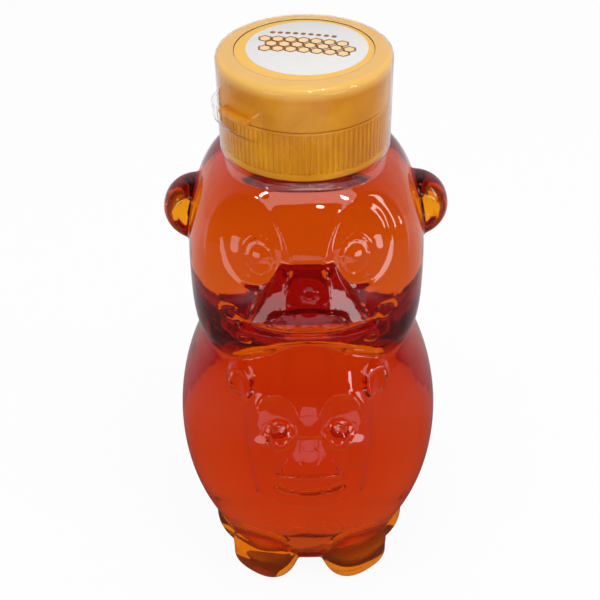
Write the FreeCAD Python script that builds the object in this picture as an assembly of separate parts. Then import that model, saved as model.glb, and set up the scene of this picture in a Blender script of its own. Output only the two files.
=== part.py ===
import FreeCAD, Part
import math
import os

# A bear-shaped squeeze bottle of honey with a shut flip-top cap.
# Millimetres. +Z is up and the bear looks along -Y. The origin is the centre of the foot print.
# The bottle is one blown shell, described by its radius at each angle and height:
# a belly, a head, two legs, two ears and a neck are blended, and the faces are relief on top.

# ---- Driving dimensions ----------------------------------------------------------------------
wall = 0.7                    # thickness of the blown bottle
honey_clearance = 0.1         # between the honey and the wall

belly_half_width = 38.8
belly_front = 33.8            # reach towards the viewer
belly_back = 36.7
belly_middle = 48.0           # height of the widest place
belly_half_height = 58.0
belly_squareness = 2.1        # 2 is an ellipse, more is squarer

head_half_width = 31.6
head_front = 31.5
head_back = 31.5
head_middle = 108.0
head_half_height = 38.0       # above the middle, and below it at the sides
chin_drop = 19.0              # below the middle at the front and at the back
head_squareness = 2.8         # from the side, at the sides and back
face_squareness = 3.2         # the same at the front, above the head's middle
chin_squareness = 2.2         # and below it
crown_squareness = 2.9        # seen from above

base_half_width = 30.8
base_front = 21.8             # the panel between the legs
base_back = 28.5
base_height = 19.0
base_squareness = 2.2
base_side_squareness = 4.0
base_rounding = 3.5

leg_reach = 32.5
leg_angle = 35.5              # degrees either side of the front
leg_half_angle = 27.5
leg_squareness = 3.4          # seen from above
leg_side_squareness = 2.6
leg_height = 31.0
leg_sole_rise = 4.0           # the height of the leg's furthest reach

ear_centre_out = 28.5
ear_centre_height = 123.8
ear_radius = 9.4
ear_half_thickness = 6.2
ear_rim_squareness = 3.0

collar_sink = 5.6             # from the head's crown down to the collar's foot
collar_height = 2.6           # ring between the head and the neck
collar_slope = 0.8            # from the collar up to the root of the neck
neck_height = 11.0

push_up_land = 3.3            # flat ring around the hollow under the bottle, at the front
push_up_height = 3.0
push_up_bulge = 0.5           # how far the hollow's slope bows upwards
push_up_crown = 4.0           # radius of the flat at the hollow's crown

fill_below_neck = 2.6         # from the root of the neck down to the honey's surface

cap_radius = 21.4
cap_wall = 1.6
cap_base_height = 13.0
cap_bore_clearance = 0.5      # around the neck
cap_neck_gap = 0.2            # from the neck's root to the skirt's lower edge
cap_collar_step = 0.8         # the cap stands out past the collar
rib_count = 96
rib_depth = 0.45
rib_width = 0.75
rib_step = 0.06               # the ribs stand this much inside the plain bands
rib_lower_land = 1.8          # plain band under the ribs
rib_upper_land = 0.7
lid_overhang = 0.15           # the lid stands out past the ribbed base
lid_height = 11.0
lid_seam = 0.3
lid_rim_rounding = 1.5
lid_top = 1.6
tab_angle = -50.0             # degrees from the front, towards -X
tab_width = 10.0
tab_reach = 1.8
tab_thickness = 1.6
tab_recess_height = 3.2
tab_recess_depth = 1.0
hinge_width = 12.0
hinge_thickness = 0.8
hinge_drop = 3.0              # the strap's reach below the lid
hinge_clearance = 0.1

sticker_margin = 2.1          # from the sticker to the film's edge
sticker_thickness = 0.12
sticker_shift_x = 0.7
sticker_shift_y = 0.9

film_thickness = 0.12
film_gap = 0.1
film_shoulder_gap = 0.35      # where the hem is pushed out by the bear's shoulders
film_fold = 4.5               # width of the fold over the top of the lid
film_below_cap = 2.2
film_curl = 0.7
film_tent_reach = 0.9         # the tent over the thumb tab, past the tab
film_tent_margin = 3.4        # either side of the tab
film_tent_height = 5.5        # above and below the tab
film_fold_steps = 4           # rings along each part of the film
film_rim_steps = 6
film_side_steps = 14
film_hem_steps = 5

# ---- Sizes and heights that follow from the ones above ---------------------------------------
collar_base = head_middle + head_half_height - collar_sink
collar_top = collar_base + collar_height
neck_root = collar_top + collar_slope
neck_top = neck_root + neck_height
neck_radius = cap_radius - rib_depth - cap_wall - cap_bore_clearance
collar_radius = cap_radius - cap_collar_step
cap_bottom = neck_root + cap_neck_gap
cap_base_top = cap_bottom + cap_base_height
lid_radius = cap_radius + lid_overhang
lid_bottom = cap_base_top + lid_seam
lid_outer_top = lid_bottom + lid_height
honey_level = neck_root - fill_below_neck
push_up_radius = base_front - base_rounding - push_up_land
film_opening_radius = lid_radius - film_fold
sticker_radius = film_opening_radius - sticker_margin

ear_join = 1.2                # softness of the blend where lobes meet, mm
body_join = 2.2
neck_join = 0.6

# ---- Relief of the big face, from the head's middle -------------------------------------------
# An oval mark is (across, up, half width, half height, softness of its edge, height).
# A dish is (across, up, half width, half height, depth). Marks off the middle are on both sides.
eye_dish = (14.6, 17.0, 10.0, 15.0, 1.4)
eyeball = (12.1, 18.9, 3.4, 4.5, 0.4, 0.7)
cheek = (18.6, 8.0, 4.4, 6.0, 0.9, 1.1)
nose = (0.0, 3.9, 8.2, 2.9, 0.3, 1.0)
# A muzzle is (low, high, half width low, half width high, height low, height high, half panel).
muzzle = (1.2, 17.8, 14.6, 6.9, 4.2, 1.2, 4.6)
muzzle_fall = 0.35            # share of its height that a muzzle loses towards its sides
# A mouth is (height of its middle, bend, half width, half thickness, depth).
mouth = (-4.6, 0.0118, 19.0, 1.3, 1.3)

# ---- Relief of the cub's face, from the belly's middle ----------------------------------------
cub_plate_height = 1.7
cub_half_width_low = 14.4
cub_half_width_high = 16.8
cub_widening = (-4.0, 16.0)   # heights between which the face widens
cub_chin = -7.4
cub_chin_bend = 0.012         # how fast the chin's edge climbs towards the cheeks
cub_forehead_fade = (32.0, 38.0)
cub_ear = (17.9, 33.6, 3.8, 4.2, 0.5, 1.5)
cub_eye_dish = (8.2, 25.0, 5.2, 7.6, 1.0)
cub_eyeball = (7.6, 22.0, 2.6, 3.2, 0.7, 1.7)
cub_cheek = (12.2, 14.0, 4.2, 5.0, 0.8, 0.7)
cub_muzzle = (6.6, 20.4, 8.8, 3.4, 1.7, 0.6, 2.0)
cub_mouth = (0.4, 0.024, 10.5, 1.1, 1.0)
forehead_fold = (9.8, 1.5, 30.0, 0.7)   # across, half width, lower end, height

# ---- Relief of the feet -----------------------------------------------------------------------
foot_turn = (8.0, 64.0)       # degrees from the front between which a foot's marks lie
sole_rim_height = 9.5
sole_rim = 0.6
sole_rim_half_width = 1.4
sole_step = 0.3
foot_almond = (33.0, 17.0, 17.0, 6.0, 0.6, -0.6)   # across in degrees


# ---- Small helpers ---------------------------------------------------------------------------
def blend(low, high, share):
    return low + (high - low) * share


def smooth_step(value):
    t = min(max(value, 0.0), 1.0)
    return t * t * (3.0 - 2.0 * t)


def soft_max(a, b, softness):
    gap = max(softness - abs(a - b), 0.0) / softness
    return max(a, b) + gap * gap * softness * 0.25


def arch(ratio, power):
    """Height of a unit superellipse at a distance from its middle."""
    inside = 1.0 - min(abs(ratio), 1.0) ** power
    return inside ** (1.0 / power)


def section_radius(angle, half_width, front, back, power):
    """Polar radius of a superellipse; angle 0 is the front."""
    across = abs(math.sin(angle)) / half_width
    if math.cos(angle) > 0.0:
        along = abs(math.cos(angle)) / front
    else:
        along = abs(math.cos(angle)) / back
    return (across ** power + along ** power) ** (-1.0 / power)


# ---- The lobes of the bottle -----------------------------------------------------------------
def belly_radius(angle, z, inset):
    rise = arch((z - belly_middle) / (belly_half_height - inset), 2.0)
    ring = section_radius(angle, belly_half_width, belly_front, belly_back, belly_squareness)
    return (ring - inset) * rise


def head_radius(angle, z, inset):
    facing = max(math.cos(angle), 0.0) ** 2
    if z > head_middle:
        reach = head_half_height - inset
        power = blend(head_squareness, face_squareness, facing)
    else:
        reach = blend(head_half_height, chin_drop, math.cos(angle) ** 2) - inset
        power = blend(head_squareness, chin_squareness, facing)
    rise = arch((z - head_middle) / reach, power)
    ring = section_radius(angle, head_half_width, head_front, head_back, crown_squareness)
    return (ring - inset) * rise


def base_radius(angle, z, inset):
    rise = arch(z / base_height, base_side_squareness)
    ring = section_radius(angle, base_half_width, base_front, base_back, base_squareness)
    return (ring - inset) * rise


def leg_radius(angle, z, inset):
    away = (abs(math.degrees(angle)) - leg_angle) / (leg_half_angle - math.degrees(inset / leg_reach))
    rise = arch((z - leg_sole_rise) / (leg_height - inset), leg_side_squareness)
    return (leg_reach - inset) * arch(away, leg_squareness) * rise


def ear_radius_at(angle, z, inset):
    reach = ear_radius - inset
    half_thickness = ear_half_thickness - inset
    lift = arch((z - ear_centre_height) / reach, 2.0) * reach
    out = ear_centre_out + lift
    across = out * math.cos(angle)
    if abs(across) >= half_thickness or lift <= 0.0:
        return 0.0
    return ear_centre_out + lift * arch(across / half_thickness, ear_rim_squareness)


def neck_radius_at(z, inset):
    step = smooth_step((z - collar_top + inset) / collar_slope)
    return blend(collar_radius, neck_radius, step) - inset


# ---- The relief: a bear's face, a cub's face on the belly, and the feet -----------------------
def oval(x, z, mark):
    centre_x, centre_z, half_x, half_z, softness, height = mark
    distance = math.hypot((x - centre_x) / half_x, (z - centre_z) / half_z)
    return height * smooth_step((1.0 - distance) / softness + 0.5)


def dish(x, z, mark):
    """A flattened place with a thin crease round it."""
    centre_x, centre_z, half_x, half_z, depth = mark
    inside = 1.0 - ((x - centre_x) / half_x) ** 2 - ((z - centre_z) / half_z) ** 2
    return -depth * soft_max(inside, 0.0, 0.2)


def wedge(x, z, mark):
    """A muzzle: it stands out further towards its foot, and its sides fall away."""
    low, high, low_half, high_half, low_height, high_height, panel_half = mark
    share = min(max((z - low) / (high - low), 0.0), 1.0)
    beyond = max(abs(x) - panel_half, 0.0) / (low_half - panel_half)
    height = blend(low_height, high_height, share) * (1.0 - muzzle_fall * beyond)
    side = smooth_step((blend(low_half, high_half, share) - abs(x)) / 1.5 + 0.5)
    ends = smooth_step((z - low) / 2.0 + 0.5) * smooth_step((high - z) / 1.2 + 0.5)
    return height * side * ends


def groove(x, z, mark):
    middle, bend, half_width, thickness, depth = mark
    ends = smooth_step((half_width - abs(x)) / 2.0)
    return -depth * ends * math.exp(-((z - middle - bend * x * x) / thickness) ** 2)


def bear_face(x, z):
    """The big face; x from the middle, z from the head's middle."""
    side = abs(x)
    relief = dish(side, z, eye_dish)
    relief += oval(side, z, eyeball)
    relief += oval(side, z, cheek)
    relief += wedge(x, z, muzzle)
    relief += oval(x, z, nose)
    relief += groove(x, z, mouth)
    return relief


def cub_plate(side, z):
    """The cub's whole face, a low plate with a rounded chin."""
    low, high = cub_widening
    share = min(max((z - low) / (high - low), 0.0), 1.0)
    half = blend(cub_half_width_low, cub_half_width_high, share)
    climb = cub_chin_bend * side ** 2 * smooth_step((side - 6.0) / 8.0)
    chin = smooth_step((z - cub_chin - climb) / 1.4 + 0.5)
    low, high = cub_forehead_fade
    top = smooth_step((high - z) / (high - low))
    return cub_plate_height * smooth_step((half - side) / 1.6 + 0.5) * chin * top


def cub_face(x, z):
    """The small face; x from the middle, z from the belly's middle."""
    side = abs(x)
    relief = cub_plate(side, z)
    relief += oval(side, z, cub_ear)
    relief += dish(side, z, cub_eye_dish)
    relief += oval(side, z, cub_eyeball)
    relief += oval(side, z, cub_cheek)
    across, half_width, low, height = forehead_fold
    relief += height * math.exp(-((side - across) / half_width) ** 2) * smooth_step((z - low) / 3.0)
    relief += wedge(x, z, cub_muzzle)
    relief += groove(x, z, cub_mouth)
    return relief


def foot_relief(angle, z):
    """A sole that stands out under a rim, and a shallow almond on top of each foot."""
    turn = abs(math.degrees(angle))
    beside = smooth_step((turn - foot_turn[0]) / 5.0) * smooth_step((foot_turn[1] - turn) / 8.0)
    relief = sole_rim * math.exp(-((z - sole_rim_height) / sole_rim_half_width) ** 2)
    relief += sole_step * smooth_step((sole_rim_height + 0.5 - z) / 2.5)
    relief += oval(turn, z, foot_almond)
    return beside * relief


# ---- The whole bottle's radius ---------------------------------------------------------------
def bottle_radius(angle, z, inset):
    """Radius of the bottle's surface, moved inwards by inset."""
    radius = soft_max(belly_radius(angle, z, inset), base_radius(angle, z, inset), body_join)
    radius = soft_max(radius, leg_radius(angle, z, inset), body_join)
    radius = soft_max(radius, head_radius(angle, z, inset), body_join)
    radius = soft_max(radius, ear_radius_at(angle, z, inset), ear_join)
    facing = math.cos(angle)
    if facing > 0.0:
        across = radius * math.sin(angle)
        shown = smooth_step((facing - 0.35) / 0.25)
        radius += shown * bear_face(across, z - head_middle)
        if z < head_middle - chin_drop + 6.0:
            radius += shown * cub_face(across, z - belly_middle)
    if z < leg_height:
        radius += foot_relief(angle, z)
    radius = soft_max(radius, neck_radius_at(z, inset), neck_join)
    rounding = base_rounding - inset
    lift = z - inset
    if lift < rounding:
        radius -= rounding - math.sqrt(max(rounding ** 2 - (rounding - lift) ** 2, 0.0))
    return radius


# ---- Building surfaces from rings ------------------------------------------------------------
def ring_angles():
    """Angles round the bottle: fine at the face and the ears, wider at the back."""
    quarter = [0.0]
    while quarter[-1] < 180.0 - 1e-6:
        here = quarter[-1]
        if here < 60.0:
            step = 2.5
        elif 76.0 <= here < 104.0:
            step = 2.0
        else:
            step = 4.0
        quarter.append(min(here + step, 180.0))
    other_side = [-value for value in reversed(quarter[1:-1])]
    return [math.radians(value) for value in other_side + quarter]


def ring_heights(low, high):
    """Heights of the rings: fine near the floor and round the collar."""
    heights = [low]
    while heights[-1] < high - 1e-6:
        here = heights[-1]
        if here - low < base_rounding:
            step = 0.25 + 0.2 * (here - low)
        elif here > collar_base - 1.0:
            step = 0.5
        else:
            step = 1.5
        heights.append(here + step)
    heights[-1] = high
    if high - heights[-2] < 0.2:
        heights.pop(-2)
    return heights


def ring_surface(rings):
    """A smooth closed band through rings of points, all rings with as many points."""
    count = len(rings[0])
    rows = len(rings)
    surface = Part.BSplineSurface()
    surface.buildFromPolesMultsKnots(
        rings,
        [4] + [1] * (rows - 4) + [4],
        [1] * (count + 1),
        [float(index) for index in range(rows - 2)],
        [float(index) for index in range(count + 1)],
        False,
        True,
        3,
        3,
    )
    return surface.toShape()


def bottle_band(inset, low, high):
    angles = ring_angles()
    rings = []
    for z in ring_heights(low, high):
        ring = []
        for angle in angles:
            radius = bottle_radius(angle, z, inset)
            ring.append(FreeCAD.Vector(radius * math.sin(angle), -radius * math.cos(angle), z))
        rings.append(ring)
    return ring_surface(rings)


def ring_wire(face, z):
    """The closed edge of a face that lies at one height."""
    edges = []
    for edge in face.Edges:
        box = edge.BoundBox
        if abs(box.ZMin - z) < 1e-4 and abs(box.ZMax - z) < 1e-4:
            edges.append(edge)
    return Part.Wire(edges)


def flat_face(wires):
    return Part.makeFace(wires, "Part::FaceMakerBullseye")


def hollow_faces(inset):
    """The hollow under the bottle: a rounded slope and a flat crown."""
    radius = push_up_radius + inset
    crown_height = inset + push_up_height
    rim = FreeCAD.Vector(radius, 0, inset)
    crown = FreeCAD.Vector(push_up_crown, 0, crown_height)
    middle = (rim + crown) * 0.5
    middle.z += push_up_bulge
    arc = Part.Arc(rim, middle, crown).toShape()
    slope = arc.revolve(FreeCAD.Vector(0, 0, 0), FreeCAD.Vector(0, 0, 1), 360)
    return [slope, flat_face([ring_wire(slope, crown_height)])]


def floor_faces(band, inset):
    """The bottle's underside, or its inner copy: a flat ring round a hollow."""
    hollow = hollow_faces(inset)
    ring = flat_face([ring_wire(band, inset), ring_wire(hollow[0], inset)])
    return [ring] + hollow


def sewn_solid(faces):
    shell = Part.makeCompound(faces)
    shell.sewShape()
    solid = Part.Solid(shell.Shells[0])
    if solid.Volume < 0.0:
        solid.reverse()
    return solid


# ---- The pieces ------------------------------------------------------------------------------
def make_bottle():
    outside = bottle_band(0.0, 0.0, neck_top)
    inside = bottle_band(wall, wall, neck_top)
    mouth = flat_face([ring_wire(outside, neck_top), ring_wire(inside, neck_top)])
    faces = [outside, inside, mouth] + floor_faces(outside, 0.0) + floor_faces(inside, wall)
    return sewn_solid(faces)


def make_honey():
    inset = wall + honey_clearance
    side = bottle_band(inset, inset, honey_level)
    surface = flat_face([ring_wire(side, honey_level)])
    return sewn_solid([side, surface] + floor_faces(side, inset))


def turned(solid, angle):
    """Turn about the bottle's axis; angle 0 stays at the front, plus goes towards +X."""
    copy = solid.copy()
    copy.rotate(FreeCAD.Vector(0, 0, 0), FreeCAD.Vector(0, 0, 1), angle)
    return copy


def front_block(width, inner, outer, low, high):
    """A block across the front, between two distances from the axis."""
    corner = FreeCAD.Vector(-width / 2.0, -outer, low)
    return Part.makeBox(width, outer - inner, high - low, corner)


def hinge_strap(width, clearance):
    """The strip that ties the lid to the base, opposite the thumb tab."""
    low = lid_bottom - hinge_drop - clearance
    height = hinge_drop + clearance + lid_rim_rounding
    up = FreeCAD.Vector(0, 0, 1)
    foot = FreeCAD.Vector(0, 0, low)
    outer = Part.makeCylinder(lid_radius, height, foot, up)
    inner = Part.makeCylinder(lid_radius - hinge_thickness - clearance, height, foot, up)
    block = front_block(width, lid_radius / 2.0, lid_radius + 1.0, low, low + height)
    return turned(outer.cut(inner).common(block), tab_angle + 180.0)


def ribbed_prism(height, z):
    """A short column whose outline alternates between ribs and the grooves between them."""
    crest = cap_radius - rib_step
    root = cap_radius - rib_depth
    half_crest = rib_width / 2.0 / crest
    half_root = (rib_width / 2.0 + rib_depth / 2.0) / root
    points = []
    for index in range(rib_count):
        middle = 2.0 * math.pi * index / rib_count
        corners = ((root, -half_root), (crest, -half_crest), (crest, half_crest), (root, half_root))
        for reach, turn in corners:
            angle = middle + turn
            points.append(FreeCAD.Vector(reach * math.cos(angle), reach * math.sin(angle), z))
    points.append(points[0])
    return Part.Face(Part.makePolygon(points)).extrude(FreeCAD.Vector(0, 0, height))


def make_cap_base():
    up = FreeCAD.Vector(0, 0, 1)
    foot = FreeCAD.Vector(0, 0, cap_bottom)
    ribs_bottom = cap_bottom + rib_lower_land
    ribs_top = cap_base_top - rib_upper_land
    body = ribbed_prism(ribs_top - ribs_bottom, ribs_bottom)
    lower_band = Part.makeCylinder(cap_radius, rib_lower_land, foot, up)
    upper_band = Part.makeCylinder(cap_radius, rib_upper_land, FreeCAD.Vector(0, 0, ribs_top), up)
    body = body.fuse([lower_band, upper_band])
    bore = Part.makeCylinder(neck_radius + cap_bore_clearance, neck_top - cap_bottom, foot, up)
    body = body.cut(bore)
    recess = front_block(
        tab_width,
        cap_radius - tab_recess_depth,
        cap_radius + 1.0,
        cap_base_top - tab_recess_height,
        cap_base_top + 1.0,
    )
    body = body.cut(turned(recess, tab_angle))
    strap_slot = hinge_strap(hinge_width + 2.0 * hinge_clearance, hinge_clearance)
    return body.cut(strap_slot).removeSplitter()


def make_cap_lid():
    up = FreeCAD.Vector(0, 0, 1)
    foot = FreeCAD.Vector(0, 0, lid_bottom)
    body = Part.makeCylinder(lid_radius, lid_height, foot, up)
    rim = [edge for edge in body.Edges if edge.BoundBox.ZMin > lid_outer_top - 1e-4]
    body = body.makeFillet(lid_rim_rounding, rim)
    hollow_height = lid_height - lid_top
    body = body.cut(Part.makeCylinder(lid_radius - cap_wall, hollow_height, foot, up))
    tab = front_block(
        tab_width,
        lid_radius - cap_wall,
        lid_radius + tab_reach,
        lid_bottom,
        lid_bottom + tab_thickness,
    )
    corners = [edge for edge in tab.Edges if is_outer_upright(edge, lid_radius + tab_reach)]
    tab = tab.makeFillet(tab_reach * 0.7, corners)
    body = body.fuse(turned(tab, tab_angle))
    return body.fuse(hinge_strap(hinge_width, 0.0)).removeSplitter()


def is_outer_upright(edge, reach):
    box = edge.BoundBox
    upright = box.XLength < 1e-4 and box.YLength < 1e-4
    return upright and abs(box.YMin + reach) < 1e-4


def make_sticker():
    foot = FreeCAD.Vector(sticker_shift_x, sticker_shift_y, lid_outer_top)
    return Part.makeCylinder(sticker_radius, sticker_thickness, foot, FreeCAD.Vector(0, 0, 1))


def film_profile(offset):
    """Distances from the axis and heights along the film, from its opening to its hem."""
    radius = lid_radius + offset
    bend = lid_rim_rounding + offset
    bend_height = lid_outer_top - lid_rim_rounding
    path = []
    for index in range(film_fold_steps):
        share = index / film_fold_steps
        flat_reach = blend(film_opening_radius, lid_radius - lid_rim_rounding, share)
        path.append((flat_reach, lid_outer_top + offset))
    for index in range(film_rim_steps + 1):
        turn = math.pi / 2.0 * index / film_rim_steps
        path.append((radius - bend + bend * math.sin(turn), bend_height + bend * math.cos(turn)))
    for index in range(1, film_side_steps + 1):
        path.append((radius, blend(bend_height, cap_bottom, index / film_side_steps)))
    for index in range(1, film_hem_steps + 1):
        share = index / film_hem_steps
        path.append((radius - film_curl * smooth_step(share), cap_bottom - film_below_cap * share))
    return path


def film_tent(angle, z):
    """How far the film stands off the cap where it is stretched over the thumb tab."""
    along = abs(angle - math.radians(tab_angle)) * lid_radius
    beside = (tab_width / 2.0 + film_tent_margin - along) / film_tent_margin
    above = abs(z - lid_bottom - tab_thickness / 2.0)
    height = (film_tent_height - above) / (film_tent_height - tab_thickness)
    return (tab_reach + film_tent_reach) * smooth_step(1.4 * beside) * smooth_step(1.2 * height)


def film_band(offset):
    rings = []
    for reach, z in film_profile(offset):
        ring = []
        for angle in ring_angles():
            radius = reach + film_tent(angle, z)
            if z < cap_bottom:
                shoulder = bottle_radius(angle, z, 0.0) + film_shoulder_gap
                radius = max(radius, shoulder + offset)
            ring.append(FreeCAD.Vector(radius * math.sin(angle), -radius * math.cos(angle), z))
        rings.append(ring)
    return ring_surface(rings)


def make_film():
    inner = film_band(film_gap)
    outer = film_band(film_gap + film_thickness)
    hem_height = cap_bottom - film_below_cap
    hem = flat_face([ring_wire(inner, hem_height), ring_wire(outer, hem_height)])
    inner_rim = ring_wire(inner, lid_outer_top + film_gap)
    outer_rim = ring_wire(outer, lid_outer_top + film_gap + film_thickness)
    rim = Part.makeRuledSurface(inner_rim, outer_rim)
    return sewn_solid([inner, outer, hem, rim])


def save(name, solid):
    solid.exportStep(os.path.join("parts", name + ".step"))
    box = solid.BoundBox
    print(name, "volume", round(solid.Volume, 1), "valid", solid.isValid(), box)


os.makedirs("parts", exist_ok=True)
save("bottle", make_bottle())
save("honey", make_honey())
save("cap_base", make_cap_base())
save("cap_lid", make_cap_lid())
save("cap_sticker", make_sticker())
save("shrink_film", make_film())
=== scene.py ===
# %% [markdown]
# # A honey bear bottle
#
# The real object is a squeeze bottle: one thin, clear shell of blown PET shaped as a sitting bear
# with a cub's face on its belly. It is full of honey and shut by a moulded flip-top cap, which is
# sealed under clear shrink film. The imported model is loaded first. It fixes every size and place,
# and the pieces made below replace its plain nodes.

# %% Load the frame
import math

import bmesh
import bpy
import numpy as np
from mathutils import Matrix, Vector


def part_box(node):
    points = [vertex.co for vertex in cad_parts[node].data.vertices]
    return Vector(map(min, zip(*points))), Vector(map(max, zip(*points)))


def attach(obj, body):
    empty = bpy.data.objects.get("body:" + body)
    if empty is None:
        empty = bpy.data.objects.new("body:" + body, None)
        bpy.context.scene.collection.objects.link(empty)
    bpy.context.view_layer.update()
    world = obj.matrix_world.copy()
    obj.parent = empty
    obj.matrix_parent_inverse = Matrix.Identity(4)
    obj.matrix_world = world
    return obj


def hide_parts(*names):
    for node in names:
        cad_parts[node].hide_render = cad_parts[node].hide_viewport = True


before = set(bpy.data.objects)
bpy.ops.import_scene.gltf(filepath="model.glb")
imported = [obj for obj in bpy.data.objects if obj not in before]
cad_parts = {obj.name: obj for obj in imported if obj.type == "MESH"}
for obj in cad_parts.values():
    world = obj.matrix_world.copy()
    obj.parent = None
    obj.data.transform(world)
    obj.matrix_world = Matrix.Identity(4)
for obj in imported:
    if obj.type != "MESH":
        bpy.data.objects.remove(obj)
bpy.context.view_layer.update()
MM = 0.001


def box_mm(node):
    """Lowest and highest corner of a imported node, in millimetres."""
    low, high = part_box(node)
    return np.array(low) / MM, np.array(high) / MM


bottle_low, bottle_high = box_mm("bottle")
skirt_low, skirt_high = box_mm("cap_base")
lid_low, lid_high = box_mm("cap_lid")
sticker_low, sticker_high = box_mm("cap_sticker")
honey_level = box_mm("honey")[1][2]
print("bottle", bottle_low.round(2), bottle_high.round(2), "honey up to", round(honey_level, 2))

# %% [markdown]
# ## The bear as a rule
#
# A blown bottle has no edges to draw, so its shape is written as a rule instead: the distance of
# the wall from the bottle's upright axis, for each direction and height. Each lobe of the bear is a
# superellipse, and lobes are joined by a soft maximum, which leaves the rounded creases that blown
# plastic has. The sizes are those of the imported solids.

# %% Sizes of the lobes, in millimetres; the squareness is 2 for an ellipse and more for a box
WALL = 0.7
HONEY_OVERLAP = 0.1           # how far the honey reaches into the wall
BODY_JOIN, EAR_JOIN, NECK_JOIN = 2.2, 1.4, 0.6    # softness of the creases between lobes
BASE_ROUNDING = 3.5
TINY = 1e-9                   # keeps a division from being by zero

belly_middle, belly_half_height = 48.0, 58.0
belly_half_width = bottle_high[0]
belly_front, belly_back = 33.8, bottle_high[1]
belly_side_squareness, belly_squareness = 2.0, 2.1
head_middle, head_half_height, chin_drop = 108.0, 38.0, 19.0
head_half_width = head_front = head_back = 31.6
head_squareness, face_squareness, chin_squareness, crown_squareness = 2.8, 3.2, 2.2, 2.9
base_half_width, base_front, base_back, base_height = 30.8, 21.8, 28.5, 19.0
base_squareness, base_side_squareness = 2.2, 4.0
leg_reach, leg_angle, leg_half_angle, leg_height, leg_sole_rise = 32.5, 35.5, 27.5, 31.0, 4.0
leg_squareness, leg_side_squareness = 3.4, 2.6
ear_centre_out, ear_centre_height, ear_radius, ear_half_thickness = 28.5, 123.8, 9.4, 6.2
ear_rim_squareness = 2.6
ear_bowl_radius, ear_bowl_depth, ear_bowl_front = 5.6, 3.4, 6.6
ear_bowl_shift, ear_bowl_join = 0.6, 1.0
neck_top = bottle_high[2]
neck_height, collar_height = 11.0, 0.8
neck_root = neck_top - neck_height
collar_top = neck_root - collar_height
neck_radius, collar_radius = 18.85, 20.6
push_up_radius, push_up_crown, push_up_height = 15.0, 4.0, 3.0
print("neck from", round(neck_root, 2), "to", round(neck_top, 2))


# %% Small shape helpers
def smooth_step(value):
    t = np.clip(value, 0.0, 1.0)
    return t * t * (3.0 - 2.0 * t)


def soft_max(a, b, softness):
    gap = np.maximum(softness - np.abs(a - b), 0.0) / softness
    return np.maximum(a, b) + gap * gap * softness * 0.25


def soft_min(a, b, softness):
    return -soft_max(-a, -b, softness)


def arch(ratio, power):
    """Height of a unit superellipse at a distance from its middle."""
    inside = 1.0 - np.minimum(np.abs(ratio), 1.0) ** power
    return inside ** (1.0 / power)


def section_radius(angle, half_width, front, back, power):
    """Distance of a superellipse from its centre; angle 0 is the front."""
    across = np.abs(np.sin(angle)) / half_width
    facing = np.cos(angle)
    along = np.abs(facing) / np.where(facing > 0.0, front, back)
    return (across ** power + along ** power) ** (-1.0 / power)


def blend(low, high, share):
    return low + (high - low) * share


# %% The lobes
def belly_reach(angle, z, inset):
    rise = arch((z - belly_middle) / (belly_half_height - inset), belly_side_squareness)
    ring = section_radius(angle, belly_half_width, belly_front, belly_back, belly_squareness)
    return (ring - inset) * rise


def head_reach(angle, z, inset):
    """Square above its middle and dropping short below it, to a chin in front and a nape behind."""
    facing = np.maximum(np.cos(angle), 0.0) ** 2
    along = np.cos(angle) ** 2
    above = z > head_middle
    tall = np.where(above, head_half_height, blend(head_half_height, chin_drop, along)) - inset
    power = blend(head_squareness, np.where(above, face_squareness, chin_squareness), facing)
    ring = section_radius(angle, head_half_width, head_front, head_back, crown_squareness)
    return (ring - inset) * arch((z - head_middle) / tall, power)


def base_reach(angle, z, inset):
    ring = section_radius(angle, base_half_width, base_front, base_back, base_squareness)
    return (ring - inset) * arch(z / base_height, base_side_squareness)


def leg_reach_at(angle, z, inset):
    half = leg_half_angle - math.degrees(inset / leg_reach)
    beside = arch((np.abs(np.degrees(angle)) - leg_angle) / half, leg_squareness)
    rise = arch((z - leg_sole_rise) / (leg_height - inset), leg_side_squareness)
    return (leg_reach - inset) * beside * rise


def neck_reach(z, inset):
    step = smooth_step((z - collar_top + inset) / (neck_root - collar_top))
    return blend(collar_radius, neck_radius, step) - inset


# %% [markdown]
# ## The relief
#
# The faces are pressed into the mould as low relief: plateaus, grooves and fine raised lines. Each
# is a function of the place across and up the front, added to the distance from the axis, so the
# relief follows the round belly and head by itself. The coarse relief is on both sides of the wall,
# and the fine lines are only on its outside, as the blown plastic levels out inside.

# %% Marks that the relief is made of; centres, halves and ends are (across, up) in millimetres
def from_centre(x, z, centre, half):
    """Distance from an ellipse's centre, where 1 is its edge."""
    return np.hypot((x - centre[0]) / half[0], (z - centre[1]) / half[1])


def faded_above(z, start, length):
    return smooth_step((z - start) / length)


def oval(x, z, centre, half, softness):
    """A plateau with a soft edge."""
    return smooth_step((1.0 - from_centre(x, z, centre, half)) / softness + 0.5)


def ring_line(x, z, centre, half, width):
    """A raised line along an ellipse."""
    away = (from_centre(x, z, centre, half) - 1.0) * math.sqrt(half[0] * half[1])
    return np.exp(-(away / width) ** 2)


def straight_line(x, z, start, end, width):
    """A raised line between two places."""
    along_x, along_z = end[0] - start[0], end[1] - start[1]
    share = ((x - start[0]) * along_x + (z - start[1]) * along_z) / (along_x ** 2 + along_z ** 2)
    share = np.clip(share, 0.0, 1.0)
    away = np.hypot(x - start[0] - share * along_x, z - start[1] - share * along_z)
    return np.exp(-(away / width) ** 2)


def dish(x, z, centre, half, depth, edge=0.2):
    """A flattened place with a thin crease round it."""
    return -depth * soft_max(1.0 - from_centre(x, z, centre, half) ** 2, 0.0, edge)


def dome(x, z, centre, half, height, fullness=0.7):
    """A round bump, as a ball pressed through from behind."""
    return height * np.maximum(1.0 - from_centre(x, z, centre, half) ** 2, 0.0) ** fullness


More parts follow.
